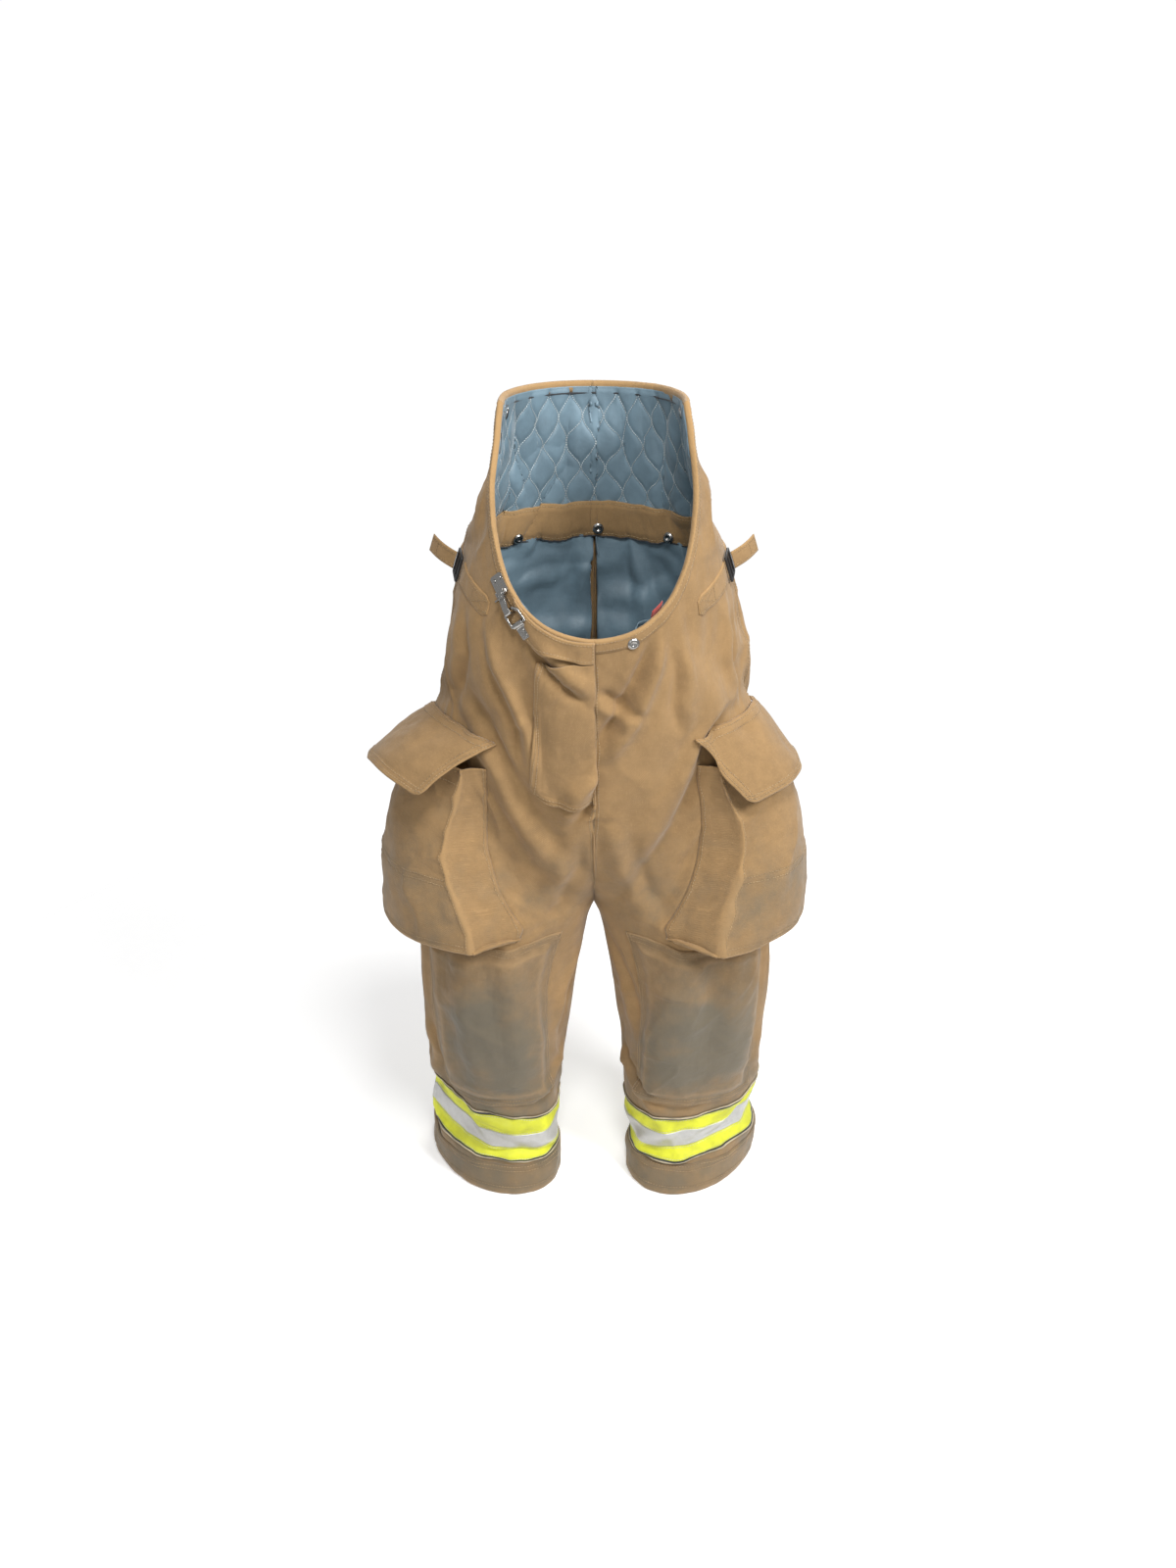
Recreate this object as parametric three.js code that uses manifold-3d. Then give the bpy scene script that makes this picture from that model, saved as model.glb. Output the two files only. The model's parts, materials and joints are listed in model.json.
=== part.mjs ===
// Firefighter's bunker pants with a high back, standing on their cuffs.
// The garment is an outer shell of four sewn panels over a quilted liner, with bellows pockets, knee
// reinforcements, reflective trim, cuff bindings, a fly flap, a hook-and-dee closure, take-up straps and snaps.
// Millimetres, +Z up, the front faces -Y. The wearer's left half is built on +X, and the right half is its mirror.
import * as THREE from "three";
import { mergeVertices } from "three/addons/utils/BufferGeometryUtils.js";
import Module from "manifold-3d";

const wasm = await Module();
wasm.setup();

// ---- Driving dimensions ----

// Heights of the garment as it stands.
const INSEAM = 465; // floor to crotch
const FRONT_RISE = 428; // crotch to the waist edge at the centre front
const BACK_RISE = 257; // waist edge at the front to the top of the high back
const FORK = 175; // height above the crotch over which the hips part into legs
const CORNER_ANGLE = 5; // where the top edge of the high back turns down, in degrees forward of the side
const TOP_DIP = 7; // how far the top edge sags at the centre back

// Heights that follow from these. What is sewn to the garment is placed from them.
const FRONT_RIM = INSEAM + FRONT_RISE;
const BACK_RIM = FRONT_RIM + BACK_RISE;
const FORK_TOP = INSEAM + FORK;

// Leg sections for the left leg: share of the inseam, centre, half width, half depth, and skew, which is how far
// the section leans sideways for each millimetre of depth.
const LEG_SECTIONS = [
  { at: 0.0, x: 150, y: -10, wide: 92, deep: 113, skew: 0.28 },
  { at: 0.11, x: 149, y: -8, wide: 94, deep: 102, skew: 0.24 },
  { at: 0.26, x: 144, y: -4, wide: 95, deep: 92, skew: 0.18 },
  { at: 0.41, x: 139, y: -5, wide: 98, deep: 95, skew: 0.1 },
  { at: 0.56, x: 139, y: -10, wide: 104, deep: 104, skew: 0.05 },
  { at: 0.71, x: 139, y: -12, wide: 108, deep: 110, skew: 0 },
  { at: 0.86, x: 134, y: -6, wide: 114, deep: 114, skew: 0 },
  { at: 1.0, x: 124, y: 0, wide: 120, deep: 118, skew: 0 },
];

// Hip, waist and high-back sections: share of the height from the crotch to the top, half width, and the depths of
// the front and back halves.
const TORSO_SECTIONS = [
  { at: 0.0, wide: 244, front: 118, back: 122 },
  { at: 0.14, wide: 236, front: 118, back: 135 },
  { at: 0.285, wide: 225, front: 124, back: 146 },
  { at: 0.4, wide: 215, front: 132, back: 150 },
  { at: 0.49, wide: 207, front: 142, back: 150 },
  { at: 0.56, wide: 197, front: 152, back: 150 },
  { at: 0.64, wide: 184, front: 160, back: 148 },
  { at: 0.7, wide: 173, front: 160, back: 147 },
  { at: 0.78, wide: 157, front: 156, back: 146 },
  { at: 0.855, wide: 144, front: 150, back: 143 },
  { at: 0.93, wide: 128, front: 142, back: 139 },
  { at: 1.0, wide: 116, front: 134, back: 134 },
];

// Cloth.
const SHELL = 3; // outer shell with its moisture barrier
const QUILT = 2.6; // quilted liner
const DUCK = 1.6; // one ply of patch, strap or facing cloth
const LAYER_GAP = 0.6; // between two plies that lie on each other
const LINER_GAP = 1.3; // between the shell and the liner
const INNER_GAP = 1.1; // between a narrow or deep piece and the cloth that it lies on
const SEAM_GAP = 0.12; // half the gap at a seam between two panels, in degrees of the hip section

// Cuffs, trim and knees.
const CUFF_HEIGHT = 44;
const CUFF_TURN_IN = 28; // height of the binding inside the leg
const TRIM_WIDTH = 80;
const STRIPE_WIDTH = 30;
const TAPE = 1; // one ply of reflective tape
const TRIM_GAP = 1.4; // between the shell and the trim
const CUFF_GAP = 1.2; // between the shell and the outside of the cuff binding
const TRIM_HEIGHT = 98; // of the trim's centre line
const TRIM_TILT = 10; // how much higher the trim runs at the outside than at the inside
const KNEE_BOTTOM = 156;
const KNEE_TOP = INSEAM - 29;
const KNEE_OUTER = 13; // the patch's edges, in degrees of the hip section from the side seam
const KNEE_INNER = 69;
const KNEE_PAD = 3.2;
const KNEE_PAD_MARGIN = 14;
const KNEE_PAD_MARGIN_ANGLE = 4;

// Liner, lining and facing of the high back.
const LINER_HEM = 62; // the liner stops this far above the floor
const LINER_TOP_BACK = BACK_RIM - 190;
const LINER_BELOW_RIM = 11;
const LINER_TAB = [61, 66]; // the liner's red tab, in degrees
const TAB_BELOW_RIM = 26;
const TAB_PROUD = 7;
const LINING_BOTTOM = LINER_TOP_BACK + 8;
const LINING_BELOW_RIM = 4;
const LINING_SPAN = 18; // how far the lining reaches forward of the side seam, in degrees
const FACING_WIDTH = 48;
const FACING_BOTTOM = LINER_TOP_BACK - 22;
const FACING_TOP = FACING_BOTTOM + FACING_WIDTH;
const FACING_SPAN = 9;

// Pockets, in degrees from the side seam towards the front, and millimetres.
const POCKET_BACK = -8;
const POCKET_FRONT = 52;
const POCKET_HEIGHT = 250;
const POCKET_BOTTOM = INSEAM - 15;
const POCKET_MOUTH = POCKET_BOTTOM + POCKET_HEIGHT;
const MOUTH_DEPTH = 26;
const BELLOWS_DEPTH = 48;
const POCKET_LEAN = 13; // how far the full depth of the bellows leans back, in degrees
const FLAP_SEAM = POCKET_MOUTH + 48; // height of the seam that carries the flap
const FLAP_DROP = 95;
const FLAP_REACH = 54; // how far the flap's free edge stands off the leg
const SEAM_SINK = 0.4; // the flap lies this much closer to the leg than a ply on a flat piece
const FLAP_OVERHANG = 3; // degrees that the flap is wider than the pocket at each end
const RIGHT_FLAP_POP = 20; // the right flap rests lifted by this angle, in degrees
const FASTENER = 1.2; // thickness of the hook-and-loop pieces
const FASTENER_GAP = 1.7; // between the flap and the piece on its inside
const FASTENER_WIDTH = 44; // height of the hook-and-loop pieces
const FASTENER_BACK = POCKET_BACK + 12; // the pieces' ends, in degrees
const FASTENER_FRONT = POCKET_FRONT - 14;
const FASTENER_MARGIN = 6; // from the piece on the pocket to the mouth
const STRIP_MARGIN = 4; // from the piece on the flap to the flap's free edge
const FLAP_STRIP_HEIGHT = 35.2;

// Front closure.
const FLY_SEAM = 88.5; // the fly's seam and free edge, in degrees from the left side seam
const FLY_EDGE = 111;
const FLY_BOTTOM = FRONT_RIM - 229;
const FLY_TOP = FRONT_RIM - 31;
const FLY_CORNER = 38;
const FLY_CORNER_ANGLE = 10;
const SHIELD_BOTTOM = FLY_BOTTOM + 36;
const SHIELD_BACK = 68;
const SHIELD_BELOW_RIM = 3;
const BAND_HEIGHT = 30;
const BAND_START = 57; // the overlap of the waistband starts here, in degrees
const BAND_BULGE = 4.5; // how far the overlap stands off the shell at its middle
const HOOK_ANGLE = 48;
const DEE_ANGLE = 61;
const CLOSURE_BELOW_RIM = 19;

// Closure hardware.
const PLATE = { length: 26, width: 20, thick: 1.6, corner: 3 };
const PIN_RADIUS = 1.3;
const PIN_AHEAD = 12; // from the plate's centre to the hook's pin
const EAR_THICK = 2;
const BARREL_WALL = 1.4; // of the hook round its pin
const PIN_PROUD = 0.8; // how far the pin stands out of each ear
const HOOK_WIDTH = 9;
const HOOK_THICK = 2;
const HOOK_TIP = 7;
const RUNNING_GAP = 0.35;
const RING_WIRE = 2.8;
const RING_WIDTH = 24;
const RING_LENGTH = 21;
const RING_CORNER = 6;
const RING_SLACK = 2.6; // between the ring's bar and the hook's tip
const RING_PLAY = 1; // between the ring's bar and the hook's arm
const THUMB_WIDTH = 14;
const THUMB_RISE = 9;
const THUMB_THICK = 1.8;
const THUMB_AHEAD = 6; // from the hook's pin to its thumb tab
const DEE_PLATE_LENGTH = 20;
const DEE_PLATE_THICK = 1.6;
const RIVET_RADIUS = 2.6;
const RIVET_HEIGHT = 1.4;
const RIVET_SINK = 0.3; // how far a rivet stands off its plate before its dome starts
const RIVET_FROM_END = 6; // from the hook plate's rear end to its rivets
const RIVET_SPREAD = 5.5;
const ROUND_SIDES = 12;

// Take-up straps at the sides.
const STRAP_WIDTH = 26;
const TAB_FRONT = 44;
const TAB_BACK = 17;
const TAB_FRONT_HEIGHT = FRONT_RIM + 27;
const TAB_BACK_HEIGHT = FRONT_RIM + 51;
const TAB_POINT = 0.35; // share of the width that the tab's pointed end loses
const BUCKLE_ANGLE = 12;
const BUCKLE_LENGTH = 30;
const BUCKLE_WIDTH = 36;
const BUCKLE_BAR = 4;
const BUCKLE_THICK = 3;
const BUCKLE_GAP = 0.5; // between the strap and the buckle on it
const STRAP_BACK = -38;
const STRAP_BACK_HEIGHT = FRONT_RIM + 63;
const TAIL_LENGTH = 46;
const TAIL_RISE = 38; // angle that the tail stands off the buckle, in degrees

// Snaps.
const SNAP_RADIUS = 7.5;
const SNAP_HEIGHT = 2.6;
const SNAP_GAP = 0.15;
const SNAP_SIDES = 14;
const BIB_SNAP_ANGLE = -3;
const BIB_SNAP_BELOW_RIM = 17;
const FRONT_SNAP_ANGLE = 75;
const FRONT_SNAP_BELOW_RIM = 14;
const FACING_SNAPS = [-131, -87, -49]; // angles round the back
const FACING_SNAP_RISE = 12; // above the facing's lower edge

// How finely the cloth is divided.
const COLUMN_STEP = 9; // degrees of the hip section
const LEG_ROWS = 10;
const FORK_ROWS = 4;
const UPPER_ROWS = 9;
const EDGE_STEP = 0.7; // share of the knee pad's margin over which the patch climbs onto the pad

// ---- Materials ----
function material(color, roughness, metalness = 0) {
  return new THREE.MeshStandardMaterial({ color, roughness, metalness });
}

const duck = material(0xa8854f, 0.92);
const patchDuck = material(0x94764c, 0.94);
const quilt = material(0x5f7f93, 0.6);
const padding = material(0x3a3a3c, 0.95);
const limeTape = material(0xd6e022, 0.55);
const silverTape = material(0xc4c6c4, 0.35);
const fastenerTape = material(0x14171a, 0.98);
const nickel = material(0xb9b6ae, 0.3, 1);
const blackPlastic = material(0x111214, 0.45);
const redCloth = material(0xb03a32, 0.85);

// ---- The body's surface ----
const sine = (degrees) => Math.sin(THREE.MathUtils.degToRad(degrees));
const cosine = (degrees) => Math.cos(THREE.MathUtils.degToRad(degrees));

// A value read from a list of sections at a share of the height, on a smooth curve through them.
function between(sections, at, key) {
  const last = sections.length - 2;
  const i = Math.min(last, Math.max(0, sections.findLastIndex((section) => section.at <= at)));
  const [a, b] = [sections[i], sections[i + 1]];
  const before = sections[Math.max(0, i - 1)];
  const after = sections[Math.min(last + 1, i + 2)];
  const span = b.at - a.at;
  const t = THREE.MathUtils.clamp((at - a.at) / span, 0, 1);
  const slopeA = ((b[key] - before[key]) / (b.at - before.at)) * span;
  const slopeB = ((after[key] - a[key]) / (after.at - a.at)) * span;
  return (
    (2 * t ** 3 - 3 * t ** 2 + 1) * a[key] +
    (t ** 3 - 2 * t ** 2 + t) * slopeA +
    (3 * t ** 2 - 2 * t ** 3) * b[key] +
    (t ** 3 - t ** 2) * slopeB
  );
}

// The torso is an oval: phi is 0 at the left side seam, 90 at the centre front and -90 at the centre back.
function torsoPoint(phi, z) {
  const at = (z - INSEAM) / (BACK_RIM - INSEAM);
  const deep = between(TORSO_SECTIONS, at, sine(phi) > 0 ? "front" : "back");
  return new THREE.Vector3(between(TORSO_SECTIONS, at, "wide") * cosine(phi), -deep * sine(phi), z);
}

// A leg is a skewed oval: theta is 0 at the side seam, 90 at the front and 180 at the inseam.
function legPoint(theta, z) {
  const at = z / INSEAM;
  const keys = ["x", "y", "wide", "deep", "skew"];
  const [x, y, wide, deep, skew] = keys.map((key) => between(LEG_SECTIONS, at, key));
  const forward = -deep * sine(theta);
  return new THREE.Vector3(x + wide * cosine(theta) + skew * forward, y + forward, z);
}

// The garment's outer face. Between the crotch and the top of the fork the torso turns into the leg.
function body(phi, z) {
  if (z >= FORK_TOP) return torsoPoint(phi, z);
  const leg = legPoint(2 * phi, z);
  if (z <= INSEAM) return leg;
  const parting = ((FORK_TOP - z) / FORK) ** 2.5;
  return torsoPoint(phi, z).lerp(leg, parting);
}

// The unit normal of a surface at (phi, z), which points out of the garment.
function normalOf(surface, phi, z) {
  const small = 0.2;
  const up = surface(phi, z + small).sub(surface(phi, z - small));
  const round = surface(phi + small, z).sub(surface(phi - small, z));
  return up.cross(round).normalize();
}

// The same surface moved out by a distance, which may depend on phi and z.
const raised = (distance, surface = body) => (phi, z) =>
  surface(phi, z).addScaledVector(normalOf(surface, phi, z), valueOf(distance, phi, z));

const valueOf = (value, ...place) => (typeof value === "function" ? value(...place) : value);

// The body moved out by a distance, and back round the leg as it goes out, as the bellows of a full pocket lean.
const leaning = (distance) => (phi, z) => {
  const out = valueOf(distance, phi, z);
  return raised(out)(phi - (POCKET_LEAN * out) / BELLOWS_DEPTH, z);
};

// Height of the garment's top edge: low at the front, and rising steeply past the sides to the high back.
function rim(phi) {
  const forward = THREE.MathUtils.radToDeg(Math.asin(sine(phi)));
  if (forward <= CORNER_ANGLE) return BACK_RIM - TOP_DIP * Math.max(0, -sine(phi)) ** 2;
  const t = ((forward - CORNER_ANGLE) / (90 - CORNER_ANGLE)) ** 0.68;
  return FRONT_RIM + (BACK_RIM - FRONT_RIM) * 0.5 * (1 + Math.cos(Math.PI * t));
}

// ---- Solids ----

// Evenly spaced values from the start to the end.
function evenly(start, end, count) {
  return Array.from({ length: count + 1 }, (_, i) => start + ((end - start) * i) / count);
}

// Every ply of cloth shares these columns and rows, so that plies that lie on each other bend alike.
const COLUMNS = evenly(-198, 198, 396 / COLUMN_STEP);
const ROWS = [
  ...evenly(0, INSEAM, LEG_ROWS),
  ...evenly(INSEAM, FORK_TOP, FORK_ROWS).slice(1),
  ...evenly(FORK_TOP, BACK_RIM, UPPER_ROWS).slice(1),
];

// A geometry from points and triangles, without triangles that have no area, turned so that its faces point out.
function closedGeometry(points, triangles) {
  const loose = new THREE.BufferGeometry().setFromPoints(points);
  loose.setIndex(triangles.flat());
  const merged = mergeVertices(loose, 1e-4);
  const place = (i) => new THREE.Vector3().fromBufferAttribute(merged.attributes.position, i);
  const index = [];
  let volume = 0;
  for (let i = 0; i < merged.index.count; i += 3) {
    const [a, b, c] = merged.index.array.subarray(i, i + 3);
    if (a === b || b === c || c === a) continue;
    index.push([a, b, c]);
    volume += place(a).dot(place(b).cross(place(c)));
  }
  merged.setIndex(index.map(([a, b, c]) => (volume < 0 ? [a, c, b] : [a, b, c])).flat());
  return merged;
}

// A solid between two grids of points, one on each face: points[i][j] with i along the columns and j up the rows.
function solidBetween(outer, inner) {
  const [nu, nv] = [outer.length, outer[0].length];
  const id = (face, i, j) => (face * nu + i) * nv + j;
  const points = [...outer.flat(), ...inner.flat()];
  const triangles = [];
  const quad = (a, b, c, d) => triangles.push([a, b, c], [a, c, d]);
  for (let i = 0; i + 1 < nu; i++) {
    for (let j = 0; j + 1 < nv; j++) {
      quad(id(0, i, j), id(0, i + 1, j), id(0, i + 1, j + 1), id(0, i, j + 1));
      triangles.push([id(1, i, j), id(1, i + 1, j + 1), id(1, i + 1, j)]);
      triangles.push([id(1, i, j), id(1, i, j + 1), id(1, i + 1, j + 1)]);
    }
    quad(id(1, i, 0), id(1, i + 1, 0), id(0, i + 1, 0), id(0, i, 0));
    quad(id(0, i, nv - 1), id(0, i + 1, nv - 1), id(1, i + 1, nv - 1), id(1, i, nv - 1));
  }
  for (let j = 0; j + 1 < nv; j++) {
    quad(id(0, 0, j), id(0, 0, j + 1), id(1, 0, j + 1), id(1, 0, j));
    quad(id(1, nu - 1, j), id(1, nu - 1, j + 1), id(0, nu - 1, j + 1), id(0, nu - 1, j));
  }
  return closedGeometry(points, triangles);
}

const clampAll = (values, low, high) => values.map((value) => THREE.MathUtils.clamp(value, low, high));

// A ply of cloth over the part of a surface between two angles and two heights, from one distance off it to another.
// The heights may change with the angle, and the distances with both.
function ply([start, end], [bottom, top], [from, to], { lift = raised, columns = [], rows = [] } = {}) {
  const across = clampAll([...COLUMNS, ...columns].sort((a, b) => a - b), start, end);
  const used = across.filter((phi, i) => phi !== across[i + 1]);
  const levels = [...ROWS, ...rows].sort((a, b) => a - b);
  const grid = used.map((phi) => clampAll(levels, valueOf(bottom, phi), valueOf(top, phi)));
  const face = (distance) => used.map((phi, i) => grid[i].map((z) => lift(distance)(phi, z)));
  return solidBetween(face(to), face(from));
}

// A ring round the leg: section(theta) is the closed outline of the ring at that angle, as points that keep their
// order all the way round. A face that runs up the leg is divided as the plies are.
function legRing(section) {
  const sections = evenly(0, 360, 180 / COLUMN_STEP).slice(0, -1).map(section);
  const [count, size] = [sections.length, sections[0].length];
  const id = (i, j) => (i % count) * size + (j % size);
  const triangles = [];
  for (let i = 0; i < count; i++) {
    for (let j = 0; j < size; j++) {
      const [a, b, c, d] = [id(i, j), id(i + 1, j), id(i + 1, j + 1), id(i, j + 1)];
      const rising = sections[i][(j + 1) % size].z >= sections[i][j].z;
      triangles.push(...(rising ? [[a, b, c], [a, c, d]] : [[a, b, d], [b, c, d]]));
    }
  }
  return closedGeometry(sections.flat(), triangles);
}

// A point off the leg, moved out level with the floor.
function besideLeg(theta, z, distance) {
  const point = legPoint(theta, z);
  const out = normalOf((angle, height) => legPoint(angle, height), theta, z).setZ(0).normalize();
  return point.addScaledVector(out, distance);
}

// A manifold solid from a geometry, and back, for booleans.
function toSolid(geometry) {
  const bare = geometry.clone();
  bare.deleteAttribute("normal");
  bare.deleteAttribute("uv");
  const merged = mergeVertices(bare, 1e-4);
  const vertProperties = merged.attributes.position.array;
  const triVerts = new Uint32Array(merged.index.array);
  return new wasm.Manifold(new wasm.Mesh({ numProp: 3, vertProperties, triVerts }));
}

function toGeometry(solid) {
  const { vertProperties, triVerts } = solid.getMesh();
  const geometry = new THREE.BufferGeometry();
  geometry.setAttribute("position", new THREE.BufferAttribute(vertProperties, 3));
  geometry.setIndex(new THREE.BufferAttribute(triVerts, 1));
  return geometry;
}

function named(name, geometry, look) {
  const mesh = new THREE.Mesh(geometry, look);
  mesh.name = name;
  return mesh;
}

// A group that sits on the body at (phi, z), lifted off it, with +Z out of the garment and +X towards another place.
function seatedAt(place, towards, lift, surface = body) {
  const origin = surface(...place);
  const out = normalOf(surface, ...place);
  const along = surface(...towards).sub(origin);
  along.addScaledVector(out, -along.dot(out)).normalize();
  const across = out.clone().cross(along);
  const group = new THREE.Group();
  group.matrix.makeBasis(along, across, out).setPosition(origin.addScaledVector(out, lift));
  group.matrix.decompose(group.position, group.quaternion, group.scale);
  return group;
}

// A hinge: a group at a point, holding pieces that are modelled in the parent's own frame. The swing says which way
// the hinge opens: its pieces turn from one direction towards the other.
function hinged(name, point, from, toward, pieces, rest = 0) {
  const group = new THREE.Group();
  group.position.copy(point);
  const axis = from.clone().cross(toward).normalize();
  group.quaternion.setFromAxisAngle(axis, THREE.MathUtils.degToRad(rest));
  for (const piece of pieces) {
    piece.position.sub(point);
    group.add(piece);
  }
  group.userData.hinge = { name, from, toward };
  return group;
}

// ---- Shell, liner and lining ----
function shellPanels(side) {
  const front = ply([SEAM_GAP, 90 - SEAM_GAP], [SHELL, rim], [-SHELL, 0]);
  const back = ply([SEAM_GAP - 90, -SEAM_GAP], [SHELL, rim], [-SHELL, 0]);
  return [named(`shell_front_${side}`, front, duck), named(`shell_back_${side}`, back, duck)];
}

const LINER_OUT = -(SHELL + LINER_GAP);
const LINER_IN = LINER_OUT - QUILT;

function liner(side) {
  const top = (phi) => Math.min(rim(phi) - LINER_BELOW_RIM, LINER_TOP_BACK);
  const span = [4 * SEAM_GAP - 90, 90 - 4 * SEAM_GAP];
  return named(`liner_${side}`, ply(span, [LINER_HEM, top], [LINER_IN, LINER_OUT]), quilt);
}

function bibLining() {
  const top = (phi) => rim(phi) - LINING_BELOW_RIM;
  const span = [-180 - LINING_SPAN, LINING_SPAN];
  return named("bib_lining", ply(span, [LINING_BOTTOM, top], [LINER_IN, LINER_OUT]), quilt);
}

const FACING_OUT = LINER_IN - LAYER_GAP;
const FACING_IN = FACING_OUT - DUCK;

function bibFacing() {
  const span = [-180 - FACING_SPAN, FACING_SPAN];
  return named("bib_facing", ply(span, [FACING_BOTTOM, FACING_TOP], [FACING_IN, FACING_OUT]), duck);
}

// ---- Knees, trim and cuffs ----
function kneePieces(side) {
  const padSpan = [KNEE_OUTER + KNEE_PAD_MARGIN_ANGLE, KNEE_INNER - KNEE_PAD_MARGIN_ANGLE];
  const padHeights = [KNEE_BOTTOM + KNEE_PAD_MARGIN, KNEE_TOP - KNEE_PAD_MARGIN];
  const pad = ply(padSpan, padHeights, [INNER_GAP, INNER_GAP + KNEE_PAD]);
  // The patch lies on the shell at its sewn edge and over the pad inside it.
  const swell = (phi, z) => {
    const sideways = Math.min(phi - KNEE_OUTER, KNEE_INNER - phi) / KNEE_PAD_MARGIN_ANGLE;
    const upright = Math.min(z - KNEE_BOTTOM, KNEE_TOP - z) / KNEE_PAD_MARGIN;
    return (KNEE_PAD + LAYER_GAP) * THREE.MathUtils.clamp(Math.min(sideways, upright) / EDGE_STEP, 0, 1);
  };
  const edgeAngle = KNEE_PAD_MARGIN_ANGLE * EDGE_STEP;
  const edgeHeight = KNEE_PAD_MARGIN * EDGE_STEP;
  const from = (phi, z) => INNER_GAP + swell(phi, z);
  const to = (phi, z) => from(phi, z) + DUCK;
  const patch = ply([KNEE_OUTER, KNEE_INNER], [KNEE_BOTTOM, KNEE_TOP], [from, to], {
    columns: [KNEE_OUTER + edgeAngle, KNEE_INNER - edgeAngle],
    rows: [KNEE_BOTTOM + edgeHeight, KNEE_TOP - edgeHeight],
  });
  return [named(`knee_pad_${side}`, pad, padding), named(`knee_patch_${side}`, patch, patchDuck)];
}

// A flat band round the leg, whose centre line tilts. The offsets are the heights of its lines of points.
function tiltedBand(offsets, from, to) {
  return legRing((theta) => {
    const centre = TRIM_HEIGHT + TRIM_TILT * cosine(theta + 30);
    const face = (distance) => offsets.map((offset) => besideLeg(theta, centre + offset, distance));
    return [...face(to), ...face(from).reverse()];
  });
}

function trimPieces(side) {
  const tapeOut = TRIM_GAP + TAPE;
  const [edge, stripeEdge] = [TRIM_WIDTH / 2, STRIPE_WIDTH / 2];
  const tape = tiltedBand([-edge, -stripeEdge, stripeEdge, edge], TRIM_GAP, tapeOut);
  const stripe = tiltedBand([-stripeEdge, stripeEdge], tapeOut + LAYER_GAP, tapeOut + LAYER_GAP + TAPE);
  return [named(`trim_tape_${side}`, tape, limeTape), named(`trim_stripe_${side}`, stripe, silverTape)];
}

function cuffBinding(side) {
  const outside = CUFF_GAP + DUCK;
  const inside = -(SHELL + 1.5 * LAYER_GAP);
  const ring = legRing((theta) =>
    [
      [outside, 0],
      [outside, CUFF_HEIGHT],
      [CUFF_GAP, CUFF_HEIGHT],
      [CUFF_GAP, DUCK],
      [inside, DUCK],
      [inside, CUFF_TURN_IN],
      [inside - DUCK, CUFF_TURN_IN],
      [inside - DUCK, 0],
    ].map(([distance, z]) => besideLeg(theta, z, distance)),
  );
  return named(`cuff_binding_${side}`, ring, patchDuck);
}

// ---- Pockets ----

// Depth of the bellows: shallow at the mouth and full below it.
function bellows(phi, z) {
  const down = THREE.MathUtils.smoothstep(POCKET_MOUTH - z, 0, (POCKET_MOUTH - POCKET_BOTTOM) * 0.55);
  return THREE.MathUtils.lerp(MOUTH_DEPTH, BELLOWS_DEPTH, down);
}

// Degrees that a width takes up at a place on the body.
function degreesFor(width, phi, z) {
  return width / body(phi + 0.5, z).distanceTo(body(phi - 0.5, z));
}

function pocketPieces(side) {
  const span = [POCKET_BACK, POCKET_FRONT];
  const heights = [POCKET_BOTTOM, POCKET_MOUTH];
  const face = ply(span, heights, [(phi, z) => bellows(phi, z) - DUCK, bellows], { lift: leaning });
  // The gusset is the pocket's solid without its inside, which is open to the leg, to the face and at the mouth.
  const under = (phi, z) => bellows(phi, z) - DUCK - LAYER_GAP / 2;
  const full = toSolid(ply(span, heights, [INNER_GAP, under], { lift: leaning }));
  const [wallBack, wallFront] = span.map((phi) => degreesFor(DUCK, phi, POCKET_BOTTOM));
  const inside = [POCKET_BACK + wallBack, POCKET_FRONT - wallFront];
  const hollow = ply(inside, [POCKET_BOTTOM + DUCK, POCKET_MOUTH + 10], [-SHELL, BELLOWS_DEPTH + 20], {
    lift: leaning,
  });
  const gusset = toGeometry(full.subtract(toSolid(hollow)));
  const loopTop = POCKET_MOUTH - FASTENER_MARGIN;
  const loopHeights = [loopTop - FASTENER_WIDTH, loopTop];
  const loopIn = (phi, z) => bellows(phi, z) + INNER_GAP;
  const loopOut = (phi, z) => loopIn(phi, z) + FASTENER;
  const loop = ply([FASTENER_BACK, FASTENER_FRONT], loopHeights, [loopIn, loopOut], { lift: leaning });
  return [
    named(`pocket_gusset_${side}`, gusset, duck),
    named(`pocket_face_${side}`, face, duck),
    named(`pocket_loop_strip_${side}`, loop, fastenerTape),
  ];
}

// The flap hangs from its seam and stands further off the leg as it falls.
function flapSurface(phi, z) {
  const down = THREE.MathUtils.clamp((FLAP_SEAM - z) / FLAP_DROP, 0, 1.1);
  return leaning(INNER_GAP + FLAP_REACH * down ** 0.8)(phi, z);
}

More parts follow.
